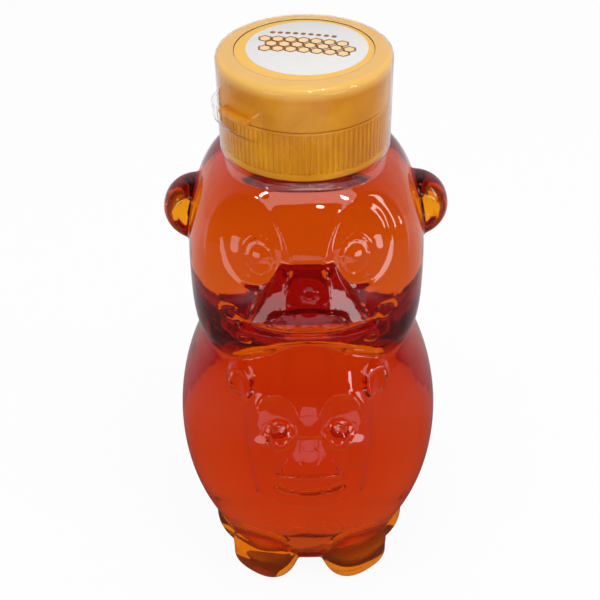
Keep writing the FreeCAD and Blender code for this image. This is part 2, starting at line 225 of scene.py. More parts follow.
def groove(x, z, middle, bend, half_width, thickness, fade=2.0):
    """A smiling line: it climbs by bend times the square of the distance from the middle."""
    ends = smooth_step((half_width - np.abs(x)) / fade)
    return ends * np.exp(-((z - middle - bend * x * x) / thickness) ** 2)


# %% The muzzle of both faces
MUZZLE_SIDE_FALL = 0.35       # share of its height that is lost towards the sides
MUZZLE_SIDE_EDGE, MUZZLE_LOW_EDGE, MUZZLE_HIGH_EDGE = 1.5, 2.0, 1.2


def wedge(x, z, low, high, low_half, high_half, low_height, high_height, panel_half):
    """A muzzle: it stands out further towards its foot, and its sides fall away from a flat panel."""
    share = np.clip((z - low) / (high - low), 0.0, 1.0)
    beyond = np.maximum(np.abs(x) - panel_half, 0.0) / (low_half - panel_half)
    height = blend(low_height, high_height, share) * (1.0 - MUZZLE_SIDE_FALL * beyond)
    side = smooth_step((blend(low_half, high_half, share) - np.abs(x)) / MUZZLE_SIDE_EDGE + 0.5)
    foot = smooth_step((z - low) / MUZZLE_LOW_EDGE + 0.5)
    return height * side * foot * smooth_step((high - z) / MUZZLE_HIGH_EDGE + 0.5)


# %% The bear's face, from the head's middle
SOCKET, SOCKET_HALF = (14.6, 17.0), (10.0, 15.0)
EYE, EYE_HALF = (12.1, 18.9), (3.5, 4.6)
BROW, BROW_HALF = (13.6, 21.0), (7.4, 9.8)
CHEEK, CHEEK_HALF = (18.6, 8.0), (4.4, 6.0)
NOSE, NOSE_HALF = (0.0, 3.9), (8.2, 2.9)
BRIDGE_MARK, BRIDGE_MARK_HALF = (0.3, 11.8), (1.5, 1.5)
MUZZLE_EDGE = (4.6, 17.2), (5.0, 6.0)
MOUTH_CORNER, MOUTH_CORNER_HALF = (19.9, 1.6), (2.4, 2.4)
CHIN_DOT, CHIN_DOT_HALF = (16.5, -6.4), (1.4, 1.4)


def grown(half, width):
    return half[0] + width, half[1] + width


def bear_face(x, z, fine):
    side = np.abs(x)
    relief = dish(side, z, SOCKET, SOCKET_HALF, 1.4)
    relief += dome(side, z, EYE, EYE_HALF, 1.0)
    relief += 0.3 * oval(side, z, CHEEK, CHEEK_HALF, 1.4)
    relief += wedge(
        x, z, low=1.2, high=17.8, low_half=14.6, high_half=6.9,
        low_height=4.8, high_height=0.4, panel_half=4.6
    )
    relief += 0.4 * oval(x, z, NOSE, NOSE_HALF, 0.3)
    relief -= 1.3 * groove(x, z, middle=-4.6, bend=0.0118, half_width=19.0, thickness=1.3)
    if fine:
        relief += 0.6 * ring_line(side, z, EYE, grown(EYE_HALF, 0.2), 0.55)
        relief += 0.25 * ring_line(side, z, EYE, (4.9, 6.2), 0.5) * faded_above(z, 20.0, 2.0)
        relief -= 0.2 * ring_line(side, z, BROW, BROW_HALF, 0.8)
        relief += 0.3 * ring_line(side, z, SOCKET, grown(SOCKET_HALF, 0.4), 0.6) * faded_above(z, 14.0, 4.0)
        relief += 0.3 * straight_line(side, z, *MUZZLE_EDGE, 0.4)
        relief += 0.35 * ring_line(x, z, BRIDGE_MARK, BRIDGE_MARK_HALF, 0.4)
        relief += 0.3 * ring_line(x, z, NOSE, grown(NOSE_HALF, 0.2), 0.5)
        relief -= 0.3 * ring_line(side, z, MOUTH_CORNER, MOUTH_CORNER_HALF, 0.4)
        relief += 0.3 * ring_line(side, z, CHIN_DOT, CHIN_DOT_HALF, 0.4)
    return relief


# %% The cub's face, from the belly's middle
CUB_CHIN, CUB_CROWN = -7.4, 38.0
CUB_CHIN_HALF, CUB_BROW_HALF = 14.4, 16.8
CUB_CHIN_ARC, CUB_CHIN_CLIMB = 17.4, 12.0
CUB_EAR, CUB_EAR_HALF = (17.9, 33.6), (3.8, 4.2)
CUB_SOCKET, CUB_SOCKET_HALF = (8.2, 25.0), (5.2, 7.6)
CUB_EYE, CUB_EYE_HALF = (7.6, 20.0), (3.1, 3.8)
CUB_CHEEK, CUB_CHEEK_HALF = (12.2, 14.0), (4.2, 5.0)
CUB_FOLD, CUB_FOLD_WIDTH, CUB_FOLD_FOOT = 9.8, 1.5, 30.0
CUB_MUZZLE_EDGE = (1.9, 20.0), (2.4, 8.0)


def cub_plate(side, z):
    """The plateau of the whole face: wider at the brow, with a round chin."""
    half = blend(CUB_CHIN_HALF, CUB_BROW_HALF, np.clip((z + 4.0) / 20.0, 0.0, 1.0))
    arc = np.sqrt(np.maximum(1.0 - (side / CUB_CHIN_ARC) ** 2, 0.0))
    chin = smooth_step((z - CUB_CHIN - CUB_CHIN_CLIMB * (1.0 - arc)) / 2.4 + 0.5)
    return smooth_step((half - side) / 3.0 + 0.5) * chin * smooth_step((CUB_CROWN - z) / 6.0)


def cub_face(x, z, fine):
    side = np.abs(x)
    relief = 1.5 * cub_plate(side, z)
    relief += 1.5 * oval(side, z, CUB_EAR, CUB_EAR_HALF, 0.5)
    relief += dish(side, z, CUB_SOCKET, CUB_SOCKET_HALF, 1.0)
    relief += dome(side, z, CUB_EYE, CUB_EYE_HALF, 3.0)
    relief += 0.7 * oval(side, z, CUB_CHEEK, CUB_CHEEK_HALF, 0.8)
    fold = np.exp(-((side - CUB_FOLD) / CUB_FOLD_WIDTH) ** 2)
    relief += 0.7 * fold * faded_above(z, CUB_FOLD_FOOT, 3.0)
    relief += wedge(
        x, z, low=6.6, high=20.4, low_half=9.2, high_half=3.4,
        low_height=1.5, high_height=-0.9, panel_half=2.0
    )
    relief -= 1.0 * groove(x, z, middle=0.4, bend=0.024, half_width=10.5, thickness=1.1)
    if fine:
        relief += 0.35 * ring_line(side, z, CUB_EAR, grown(CUB_EAR_HALF, -0.8), 0.5)
        relief += 0.3 * ring_line(side, z, CUB_EYE, (3.6, 4.4), 0.45)
        socket_rim = ring_line(side, z, CUB_SOCKET, grown(CUB_SOCKET_HALF, 0.4), 0.5)
        relief += 0.3 * socket_rim * faded_above(z, 24.0, 3.0)
        relief += 0.25 * straight_line(side, z, *CUB_MUZZLE_EDGE, 0.4)
    return relief


# %% The feet, by angle from the front and height
FOOT_INNER_ANGLE, FOOT_OUTER_ANGLE = 8.0, 64.0
SOLE_RIM_HEIGHT, SOLE_TOP = 9.5, 10.0
ALMOND, ALMOND_HALF = (33.0, 17.0), (17.0, 6.0)    # degrees and millimetres


def foot_relief(angle, z):
    """A sole that stands out under a rim, and a shallow almond on top of each foot."""
    turn = np.abs(np.degrees(angle))
    beside = smooth_step((turn - FOOT_INNER_ANGLE) / 5.0) * smooth_step((FOOT_OUTER_ANGLE - turn) / 8.0)
    relief = 0.35 * np.exp(-((z - SOLE_RIM_HEIGHT) / 1.6) ** 2)
    relief += 0.15 * smooth_step((SOLE_TOP - z) / 2.5)
    relief -= 0.5 * oval(turn, z, ALMOND, ALMOND_HALF, 0.8)
    return beside * relief


# %% [markdown]
# ## From rule to mesh
#
# The lobes give a field: below zero inside the plastic and above zero outside. A surface net turns
# it into a mesh. It puts one point in each small cell that the surface crosses, joins neighbouring
# points by quads, and then lets the points slide on to the surface. A net is even all over, ears
# and creases too, where a lathe or a lofted grid would stretch.

# %% The field of the bear
def ear_field(x, y, z, inset):
    """A disc with a rounded edge and a bowl pressed into its front."""
    out = np.abs(x) - ear_centre_out
    up = z - ear_centre_height
    flat = np.hypot(out, up) / (ear_radius - inset)
    thick = np.abs(y) / (ear_half_thickness - inset)
    power = ear_rim_squareness
    ratio = (flat ** power + thick ** power) ** (1.0 / power) + TINY
    disc = np.sqrt(out ** 2 + up ** 2 + y ** 2) * (ratio - 1.0) / ratio
    aside = (out - ear_bowl_shift) ** 2 + up ** 2
    ahead = (y + ear_bowl_front) ** 2
    bowl_radius, bowl_depth = ear_bowl_radius + inset, ear_bowl_depth + inset
    bowl_ratio = np.sqrt(aside / bowl_radius ** 2 + ahead / bowl_depth ** 2) + TINY
    bowl = np.sqrt(aside + ahead) * (bowl_ratio - 1.0) / bowl_ratio
    return soft_max(disc, -bowl, ear_bowl_join)


FACE_EDGE, FACE_FADE = 0.35, 0.25    # cosine of the angle from the front where the relief ends
CUB_TOP = head_middle - chin_drop + 6.0


def bottle_field(points, inset, fine):
    """Below zero inside the bear whose walls are moved inwards by inset."""
    x, y, z = points.T
    away = np.hypot(x, y)
    angle = np.arctan2(x, -y)
    reach = soft_max(belly_reach(angle, z, inset), base_reach(angle, z, inset), BODY_JOIN)
    reach = soft_max(reach, leg_reach_at(angle, z, inset), BODY_JOIN)
    reach = soft_max(reach, head_reach(angle, z, inset), BODY_JOIN)
    shown = smooth_step((np.cos(angle) - FACE_EDGE) / FACE_FADE)
    front = shown > 0.0
    across = reach[front] * np.sin(angle[front])
    height = z[front]
    relief = bear_face(across, height - head_middle, fine)
    on_belly = height < CUB_TOP
    relief[on_belly] += cub_face(across[on_belly], height[on_belly] - belly_middle, fine)
    reach[front] += shown[front] * relief
    low = z < leg_height
    reach[low] += foot_relief(angle[low], z[low])
    reach = soft_max(reach, neck_reach(z, inset), NECK_JOIN)
    body = soft_min(away - reach, ear_field(x, y, z, inset), EAR_JOIN)
    hollow = (push_up_radius + inset - away) / (push_up_radius - push_up_crown)
    floor = inset + push_up_height * smooth_step(hollow) - z
    rounding = BASE_ROUNDING - inset
    corner = np.hypot(np.maximum(body + rounding, 0.0), np.maximum(floor + rounding, 0.0)) - rounding
    return np.where((body > -rounding) & (floor > -rounding), corner, np.maximum(body, floor))


# %% The surface net
CORNERS = [(i, j, k) for i in (0, 1) for j in (0, 1) for k in (0, 1)]
COARSE = 4                    # fine cells along each coarse cell


def shifted(grid, offset, shape):
    i, j, k = offset
    return grid[i:i + shape[0], j:j + shape[1], k:k + shape[2]]


def crossed(inside, shape):
    """The cells whose corners aren't all on one side."""
    corners = [shifted(inside, offset, shape) for offset in CORNERS]
    return np.any(corners, axis=0) & ~np.all(corners, axis=0)


def surface_net(field, low, high, pitch):
    """Points and quads of field(points) = 0 inside a box."""
    low = np.array(low, float)
    blocks = np.ceil((np.array(high) - low) / (pitch * COARSE)).astype(int)
    corner = np.stack(np.meshgrid(*[np.arange(n + 1) for n in blocks], indexing="ij"), -1)
    values = field(low + corner.reshape(-1, 3) * pitch * COARSE).reshape(blocks + 1)
    near = np.pad(crossed(values < 0.0, blocks), 1)
    spread = np.zeros(blocks, bool)
    for offset in np.ndindex(3, 3, 3):
        spread |= shifted(near, offset, blocks)
    cells = spread.repeat(COARSE, 0).repeat(COARSE, 1).repeat(COARSE, 2)
    shape = np.array(cells.shape)
    nodes = np.zeros(shape + 1, bool)
    for offset in CORNERS:
        shifted(nodes, offset, shape)[...] |= cells
    values = np.ones(shape + 1)
    values[nodes] = field(low + np.argwhere(nodes) * pitch)
    inside = values < 0.0
    mixed = crossed(inside, shape) & cells
    place = np.argwhere(mixed)
    corner_values = np.stack([shifted(values, offset, shape)[mixed] for offset in CORNERS], 1)
    total = np.zeros((len(place), 3))
    count = np.zeros(len(place))
    for a, b in ((a, b) for a in range(8) for b in range(a + 1, 8)):
        step = np.subtract(CORNERS[b], CORNERS[a])
        if np.abs(step).sum() != 1:
            continue
        va, vb = corner_values[:, a], corner_values[:, b]
        hit = (va < 0.0) != (vb < 0.0)
        share = va[hit] / (va[hit] - vb[hit])
        total[hit] += np.array(CORNERS[a]) + share[:, None] * step
        count[hit] += 1.0
    points = low + pitch * (place + total / count[:, None])
    number = np.full(shape, -1, np.int64)
    number[mixed] = np.arange(len(place))
    return points, net_quads(inside, number)


def net_quads(inside, number):
    """One quad round each grid edge that the surface crosses, facing outwards."""
    quads = []
    for axis in range(3):
        first = np.eye(3, dtype=int)[(axis + 1) % 3]
        second = np.eye(3, dtype=int)[(axis + 2) % 3]
        here = np.moveaxis(inside, axis, 0)
        edge = np.moveaxis(here[:-1] != here[1:], 0, axis)
        start = np.argwhere(edge)
        fits = np.all(start - first - second >= 0, 1) & np.all(start < number.shape, 1)
        start = start[fits]
        ring = [start, start - first, start - first - second, start - second]
        quad = np.stack([number[tuple(place.T)] for place in ring], 1)
        outwards = inside[tuple(start.T)]
        quad[~outwards] = quad[~outwards][:, ::-1]
        quads.append(quad[np.all(quad >= 0, 1)])
    return np.concatenate(quads)


# %% Sliding points on to the surface
SLOPE_STEP = 0.02             # millimetres


def value_and_slope(field, points):
    value = field(points)
    slope = np.stack([(field(points + SLOPE_STEP * axis) - value) / SLOPE_STEP for axis in np.eye(3)], 1)
    return value, slope


def settle(field, points, rounds, furthest):
    """Moves points on to field = 0, each round by no more than furthest."""
    for _ in range(rounds):
        value, slope = value_and_slope(field, points)
        move = -value[:, None] * slope / np.maximum((slope ** 2).sum(1), TINY)[:, None]
        length = np.linalg.norm(move, axis=1, keepdims=True)
        points = points + move * np.minimum(1.0, furthest / np.maximum(length, TINY))
    return points


# %% Between numpy and Blender
def mesh_from(name, points, faces):
    """A mesh in metres from points in millimetres and faces of one size."""
    mesh = bpy.data.meshes.new(name)
    faces = np.asarray(faces)
    mesh.vertices.add(len(points))
    mesh.vertices.foreach_set("co", (np.asarray(points) * MM).ravel())
    mesh.loops.add(faces.size)
    mesh.loops.foreach_set("vertex_index", faces.ravel())
    mesh.polygons.add(len(faces))
    mesh.polygons.foreach_set("loop_start", np.arange(0, faces.size, faces.shape[1]))
    mesh.update(calc_edges=True)
    mesh.validate()
    mesh.polygons.foreach_set("use_smooth", np.ones(len(mesh.polygons), bool))
    return mesh


def points_of(mesh):
    flat = np.empty(len(mesh.vertices) * 3)
    mesh.vertices.foreach_get("co", flat)
    return flat.reshape(-1, 3) / MM


def move_points(mesh, points):
    mesh.vertices.foreach_set("co", (points * MM).ravel())
    mesh.update()


def new_object(name, mesh):
    thing = bpy.data.objects.new(name, mesh)
    bpy.context.scene.collection.objects.link(thing)
    return thing


def finished_mesh(thing):
    """The mesh with its modifiers worked in, and the modifiers removed."""
    evaluated = thing.evaluated_get(bpy.context.evaluated_depsgraph_get())
    mesh = bpy.data.meshes.new_from_object(evaluated)
    thing.modifiers.clear()
    thing.data = mesh
    mesh.name = thing.name
    return thing


# %% [markdown]
# ## The bottle's shell
#
# The outside is netted finely, because the raised lines are only a millimetre wide, and then
# thinned by Decimate, which keeps its triangles where the relief is. The inside can be coarser.
# Both skins are cut level with the mouth and joined by a ring, so the shell is closed and has the
# real wall's thickness: glass-clear materials need that to bend light the right way.

# %% Net both skins
SIDE_MARGIN, END_MARGIN = 1.5, 1.2    # empty space round the bear
SPACE_LOW = (-belly_half_width - SIDE_MARGIN, -belly_back - SIDE_MARGIN, -END_MARGIN)
SPACE_HIGH = (belly_half_width + SIDE_MARGIN, belly_back + SIDE_MARGIN, neck_top + END_MARGIN)
OUTER_PITCH, INNER_PITCH, HONEY_PITCH = 0.6, 1.1, 0.9
KEPT_SHARE = 0.4              # of the outer skin's triangles


def skin(name, inset, fine, pitch, top=None):
    """A netted skin of the bear, as a mesh, with its field."""
    def field(points):
        value = bottle_field(points, inset, fine)
        if top is None:
            return value
        return np.maximum(value, points[:, 2] - top)

    points, quads = surface_net(field, SPACE_LOW, SPACE_HIGH, pitch)
    points = settle(field, points, rounds=3, furthest=pitch * 0.5)
    print(name, len(points), "points", len(quads), "quads")
    return mesh_from(name, points, quads), field


def thinned(thing, share, field):
    """Decimates a skin and slides its points back on to the surface."""
    modifier = thing.modifiers.new("thin", "DECIMATE")
    modifier.ratio = share
    finished_mesh(thing)
    move_points(thing.data, settle(field, points_of(thing.data), rounds=2, furthest=0.2))


outer_mesh, outer_field = skin("outer_skin", 0.0, True, OUTER_PITCH)
inner_mesh, _ = skin("inner_skin", WALL, False, INNER_PITCH)
bottle = new_object("bear_bottle", outer_mesh)
thinned(bottle, KEPT_SHARE, outer_field)
print("outer skin", len(bottle.data.polygons), "triangles")


# %% Cut level at the mouth and close the shell
OUTSIDE, WETTED, UNDERSIDE = 0, 1, 2    # the material slots of the bottle
MERGE = 1e-7                  # metres
BASE_TOP, FACES_DOWN = 4.5, -0.5


def cut_level(bm, height):
    geometry = bm.verts[:] + bm.edges[:] + bm.faces[:]
    bmesh.ops.bisect_plane(
        bm, geom=geometry, dist=MERGE, plane_co=(0, 0, height * MM), plane_no=(0, 0, 1), clear_outer=True
    )


shell = bmesh.new()
shell.from_mesh(inner_mesh)
bmesh.ops.reverse_faces(shell, faces=shell.faces[:])
for face in shell.faces:
    face.material_index = WETTED
shell.from_mesh(bottle.data)
cut_level(shell, neck_top)
mouth = [edge for edge in shell.edges if edge.is_boundary]
bmesh.ops.bridge_loops(shell, edges=mouth)
bmesh.ops.triangulate(shell, faces=[face for face in shell.faces if len(face.verts) > 3])
shell.normal_update()
for face in shell.faces:
    face.smooth = True
    low = face.normal.z < FACES_DOWN and face.calc_center_median().z < BASE_TOP * MM
    if low and face.material_index == OUTSIDE:
        face.material_index = UNDERSIDE
shell.to_mesh(bottle.data)
open_edges = sum(1 for edge in shell.edges if not edge.is_manifold)
shell.free()
bpy.data.meshes.remove(inner_mesh)
print("bottle", len(bottle.data.polygons), "triangles,", open_edges, "open edges")

# %% [markdown]
# ## The honey
#
# Light bends too much if a gap of air is left between a wall and what fills it, so the honey is a
# piece of its own that reaches a tenth of a millimetre into the plastic. Its top is level at the
# root of the neck.

# %% Net the honey
honey_mesh, _ = skin("honey_fill", WALL - HONEY_OVERLAP, False, HONEY_PITCH, honey_level)
honey = new_object("honey_fill", honey_mesh)
print("honey", len(honey.data.polygons) * 2, "triangles")


# %% [markdown]
# ## The cap
#
# Both halves of the closure are moulded round their axis, so a profile is turned. The ribs for the
# fingers repeat 96 times: Geometry Nodes puts one rounded bar on each point of a circle, with the
# count and sizes as inputs.

# %% Turning a closed profile about the axis
def turned(name, profile, segments=192):
    """A ring-shaped mesh from a closed profile of (radius, height), in millimetres."""
    profile = np.array(profile, float)
    count = len(profile)
    turn = np.linspace(0.0, 2.0 * math.pi, segments, endpoint=False)
    points = np.stack(
        [np.outer(np.cos(turn), profile[:, 0]), np.outer(np.sin(turn), profile[:, 0]),
         np.tile(profile[:, 1], (segments, 1))], -1
    ).reshape(-1, 3)
    here = np.arange(segments * count).reshape(segments, count)
    after = np.roll(here, -1, 0)
    faces = np.stack([here, after, np.roll(after, -1, 1), np.roll(here, -1, 1)], -1).reshape(-1, 4)
    mesh = mesh_from(name, points, faces)
    solid = bmesh.new()
    solid.from_mesh(mesh)
    bmesh.ops.remove_doubles(solid, verts=solid.verts, dist=MERGE)
    bmesh.ops.recalc_face_normals(solid, faces=solid.faces)
    solid.to_mesh(mesh)
    solid.free()
    return mesh


def rounded_corner(radius, height, bend, start, stop, steps=6):
    """Points of a quarter circle round (radius, height), between two directions in degrees."""
    turns = np.radians(np.linspace(start, stop, steps))
    return [(radius + bend * math.cos(t), height + bend * math.sin(t)) for t in turns]


def sharpen(thing, degrees=35.0):
    thing.data.set_sharp_from_angle(angle=math.radians(degrees))


# %% The skirt
cap_bottom, skirt_top = skirt_low[2], skirt_high[2]
skirt_radius = skirt_high[0]
CAP_WALL = 1.6
RIB_DEPTH, RIB_WIDTH = 0.45, 0.75
RIB_LOW, RIB_HIGH = 1.8, 0.7    # plain bands below and above the ribs
HEM_EDGE, BAND_EDGE, TOP_EDGE = 0.3, 0.15, 0.25    # rounded edges
ON_AXIS = 0.01                # a turned face closes almost on the axis
root_radius = skirt_radius - RIB_DEPTH
bore_radius = neck_radius + 0.5
rib_foot, rib_head = cap_bottom + RIB_LOW, skirt_top - RIB_HIGH

skirt_profile = (
    rounded_corner(bore_radius + HEM_EDGE, cap_bottom + HEM_EDGE, HEM_EDGE, 180, 270, 4)
    + rounded_corner(skirt_radius - HEM_EDGE, cap_bottom + HEM_EDGE, HEM_EDGE, 270, 360, 4)
    + rounded_corner(skirt_radius - BAND_EDGE, rib_foot - BAND_EDGE, BAND_EDGE, 0, 90, 3)
    + [(root_radius, rib_foot + 0.1), (root_radius, rib_head - 0.1)]
    + rounded_corner(skirt_radius - BAND_EDGE, rib_head + BAND_EDGE, BAND_EDGE, 270, 360, 3)
    + rounded_corner(skirt_radius - TOP_EDGE, skirt_top - TOP_EDGE, TOP_EDGE, 0, 90, 4)
    + [(ON_AXIS, skirt_top), (ON_AXIS, neck_top), (bore_radius, neck_top)]
)
skirt = new_object("cap_skirt", turned("cap_skirt", skirt_profile))
print("skirt", len(skirt.data.polygons), "faces")


# %% One small helper that adds a node
def add_node(tree, kind, inputs=None, stops=(), **settings):
    """Adds a node with its settings, and fills its inputs with values or other nodes' sockets."""
    new = tree.nodes.new(kind)
    for key, value in settings.items():
        setattr(new, key, value)
    for key, value in (inputs or {}).items():
        if isinstance(value, bpy.types.NodeSocket):
            tree.links.new(value, new.inputs[key])
        else:
            new.inputs[key].default_value = value
    if stops:
        ramp = new.color_ramp.elements
        ramp[0].position, ramp[0].color = stops[0]
        ramp[1].position, ramp[1].color = stops[-1]
        for position, colour in stops[1:-1]:
            ramp.new(position).color = colour
    return new


def apply_nodes(thing, tree, values):
    """Runs a geometry tree on an object with named input values and keeps the plain mesh."""
    modifier = thing.modifiers.new(tree.name, "NODES")
    modifier.node_group = tree
    for item in tree.interface.items_tree:
        if item.in_out == "INPUT" and item.name in values:
            modifier[item.identifier] = values[item.name]
    return finished_mesh(thing)


def new_tree(name, inputs):
    tree = bpy.data.node_groups.new(name, "GeometryNodeTree")
    tree.interface.new_socket("Geometry", in_out="INPUT", socket_type="NodeSocketGeometry")
    tree.interface.new_socket("Geometry", in_out="OUTPUT", socket_type="NodeSocketGeometry")
    for label, kind in inputs:
        tree.interface.new_socket(label, in_out="INPUT", socket_type=kind)
    given = tree.nodes.new("NodeGroupInput").outputs
    return tree, given, tree.nodes.new("NodeGroupOutput")


# %% [markdown]
# ## Colours and materials
#
# Each material is named for the real plastic, paper or liquid. Colours are written as sRGB hex
# values and turned to linear by one function, and each pattern takes its scale from a real size.
# Every material is one Principled shader. Noise on Object coordinates gives it the small
# unevenness that keeps a surface from looking like computer graphics.

# %% Colour and material helpers
BLACK, WHITE = (0.0, 0.0, 0.0, 1.0), (1.0, 1.0, 1.0, 1.0)
MIX_A, MIX_B, MIX_RESULT = 6, 7, 2    # the colour sockets of a Mix node


def linear(hex_colour):
    channels = [int(hex_colour[i:i + 2], 16) / 255.0 for i in (1, 3, 5)]
    return tuple(c / 12.92 if c <= 0.04045 else ((c + 0.055) / 1.055) ** 2.4 for c in channels) + (1.0,)


def per_size(millimetres):
    """Scale of a pattern whose features are that large."""
    return 1.0 / (millimetres * MM)


def new_material(name, **values):
    """A material with one Principled shader, its tree, and its Object coordinates."""
    material = bpy.data.materials.new(name)
    material.use_nodes = True
    tree = material.node_tree
    tree.nodes.clear()
    named = {key.replace("_", " "): value for key, value in values.items()}
    shader = add_node(tree, "ShaderNodeBsdfPrincipled", named)
    output = add_node(tree, "ShaderNodeOutputMaterial", {"Surface": shader.outputs["BSDF"]})
    place = add_node(tree, "ShaderNodeTexCoord").outputs["Object"]
    return material, tree, shader, output, place


# %% [markdown]
# ### Clear plastic and honey
#
# Light bends at each skin by the step between two materials. Where honey wets the plastic the step
# is tiny, so a real bottle shows almost no reflection there. The three skins are therefore three
# looks: the outside reflects, the wetted inside doesn't (its Specular Tint is black), and the
# underside is matt. The honey takes up light along its depth by Volume Absorption, so thin ears
# are golden and the thick belly is red.

# %% PET, stretched and blown: glass-clear and glossy, gently wavy, with a mould seam at each side
PET_IOR = 1.57
WAVE_SIZE, WAVE_HEIGHT = 9.0, 0.12
SEAM_HALF_WIDTH, SEAM_SHARE = 0.45, 0.22


def blown_pet():
    material, tree, shader, _, place = new_material(
        "blown_clear_pet", Base_Color=WHITE, Transmission_Weight=1.0, IOR=PET_IOR, Roughness=0.01
    )
    waves = add_node(
        tree, "ShaderNodeTexNoise", {"Vector": place, "Scale": per_size(WAVE_SIZE), "Detail": 1.5}
    )
    along = add_node(tree, "ShaderNodeSeparateXYZ", {"Vector": place}).outputs["Y"]
    away = add_node(tree, "ShaderNodeMath", {0: along}, operation="ABSOLUTE").outputs[0]
    seam = add_node(
        tree, "ShaderNodeMapRange",
        {"Value": away, "From Max": SEAM_HALF_WIDTH * MM, "To Min": SEAM_SHARE, "To Max": 0.0}
    )
    height = add_node(
        tree, "ShaderNodeMath", {0: waves.outputs["Fac"], 1: seam.outputs["Result"]}, operation="ADD"
    )
    bump = add_node(
        tree, "ShaderNodeBump", {"Height": height.outputs[0], "Distance": WAVE_HEIGHT * MM, "Strength": 1.0}
    )
    tree.links.new(bump.outputs["Normal"], shader.inputs["Normal"])
    return material


# %% The same PET where honey wets it: hardly any reflection, as both bend light alike
def wetted_pet():
    return new_material(
        "blown_clear_pet_wetted", Base_Color=WHITE, Transmission_Weight=1.0, IOR=PET_IOR,
        Roughness=0.0, Specular_Tint=BLACK
    )[0]


# %% The same PET under the base: matt, from the roughened floor of the mould and from rubbing
def matt_pet():
    return new_material(
        "blown_clear_pet_base", Base_Color=WHITE, Transmission_Weight=1.0, IOR=PET_IOR, Roughness=0.42
    )[0]


# %% Honey: a clear liquid that takes up blue at once, green slowly and red hardly at all
def clear_honey():
    material, tree, _, output, _ = new_material(
        "dark_amber_honey", Base_Color=(0.90, 0.40, 0.12, 1.0), Transmission_Weight=1.0, IOR=1.49,
        Roughness=0.0, Specular_Tint=BLACK
    )
    absorb = add_node(
        tree, "ShaderNodeVolumeAbsorption", {"Color": (0.978, 0.9067, 0.0, 1.0), "Density": 300.0}
    )
    tree.links.new(absorb.outputs["Volume"], output.inputs["Volume"])
    return material


# %% [markdown]
# ### The cap, the paper and the film
#
# Moulded polypropylene is satin, a little cloudy in colour, with the fine orange-peel skin of its
# mould. The sticker's paper is smooth and white with faint fibres. The film is clear, and thinner
# than a wall that bends light by itself, so its IOR is low and a clear coat gives it its gloss.

# %% Polypropylene, injection moulded: satin, with a faint orange-peel skin
CLOUD_SIZE, PEEL_SIZE, PEEL_HEIGHT = 11.0, 0.9, 0.03
# Painted sheen on the lid's top: the heights where it starts and where it is full, and how far it pales the
# colour
PAINTED_SHEEN_FROM, PAINTED_SHEEN_TO, PAINTED_SHEEN_SHARE = 165.0, 167.5, 0.85


def moulded_pp():
    material, tree, shader, _, place = new_material(
        "moulded_golden_polypropylene", Roughness=0.38, IOR=1.49, Specular_IOR_Level=0.15
    )
    cloud = add_node(
        tree, "ShaderNodeTexNoise", {"Vector": place, "Scale": per_size(CLOUD_SIZE), "Detail": 2.0}
    )
    colour = add_node(
        tree, "ShaderNodeValToRGB", {"Fac": cloud.outputs["Fac"]},
        stops=((0.35, linear("#ce820a")), (0.7, linear("#e09a10")))
    )
    # Painted sheen: the top of the lid is painted paler, where the light from above falls on its deck.
    height = add_node(tree, "ShaderNodeSeparateXYZ", {"Vector": place}).outputs["Z"]
    top = add_node(
        tree, "ShaderNodeMapRange",
        {"Value": height, "From Min": PAINTED_SHEEN_FROM * MM, "From Max": PAINTED_SHEEN_TO * MM, "To Max": PAINTED_SHEEN_SHARE}
    )
    pale = add_node(
        tree, "ShaderNodeMix",
        {0: top.outputs["Result"], MIX_A: colour.outputs["Color"], MIX_B: linear("#f2c266")}, data_type="RGBA"
    )
    tree.links.new(pale.outputs[MIX_RESULT], shader.inputs["Base Color"])
    peel = add_node(
        tree, "ShaderNodeTexNoise", {"Vector": place, "Scale": per_size(PEEL_SIZE), "Detail": 2.0}
    )
    bump = add_node(
        tree, "ShaderNodeBump", {"Height": peel.outputs["Fac"], "Distance": PEEL_HEIGHT * MM, "Strength": 1.0}
    )
    tree.links.new(bump.outputs["Normal"], shader.inputs["Normal"])
    return material


# %% Coated paper: white, smooth and a little glossy, with faint fibres
FIBRE_SIZE, FIBRE_HEIGHT = 0.6, 0.01


def coated_paper():
    material, tree, shader, _, place = new_material("white_coated_paper", Roughness=0.42, IOR=1.5)
    fibre = add_node(
        tree, "ShaderNodeTexNoise", {"Vector": place, "Scale": per_size(FIBRE_SIZE), "Detail": 4.0}
    )
    colour = add_node(
        tree, "ShaderNodeValToRGB", {"Fac": fibre.outputs["Fac"]},
        stops=((0.3, linear("#dfdedb")), (0.7, linear("#e4e3e0")))
    )
    tree.links.new(colour.outputs["Color"], shader.inputs["Base Color"])
    bump = add_node(
        tree, "ShaderNodeBump",
        {"Height": fibre.outputs["Fac"], "Distance": FIBRE_HEIGHT * MM, "Strength": 1.0}
    )
    tree.links.new(bump.outputs["Normal"], shader.inputs["Normal"])
    return material


# %% Shrink film: thin, clear and glossy, pulled into fine creases as it shrinks
FINE_CREASE_SIZE, FINE_CREASE_HEIGHT = 3.0, 0.15


def shrunk_film(name, **looks):
    material, tree, shader, _, place = new_material(
        name, Base_Color=(0.99, 0.985, 0.99, 1.0), Transmission_Weight=1.0, IOR=1.12, Roughness=0.03, **looks
    )
    stretch = add_node(tree, "ShaderNodeMapping", {"Vector": place, "Scale": (1.0, 1.0, 0.25)})
    fine = add_node(
        tree, "ShaderNodeTexNoise",
        {"Vector": stretch.outputs["Vector"], "Scale": per_size(FINE_CREASE_SIZE), "Detail": 3.0}
    )
    bump = add_node(
        tree, "ShaderNodeBump",
        {"Height": fine.outputs["Fac"], "Distance": FINE_CREASE_HEIGHT * MM, "Strength": 1.0}
    )
    tree.links.new(bump.outputs["Normal"], shader.inputs["Normal"])
    return material


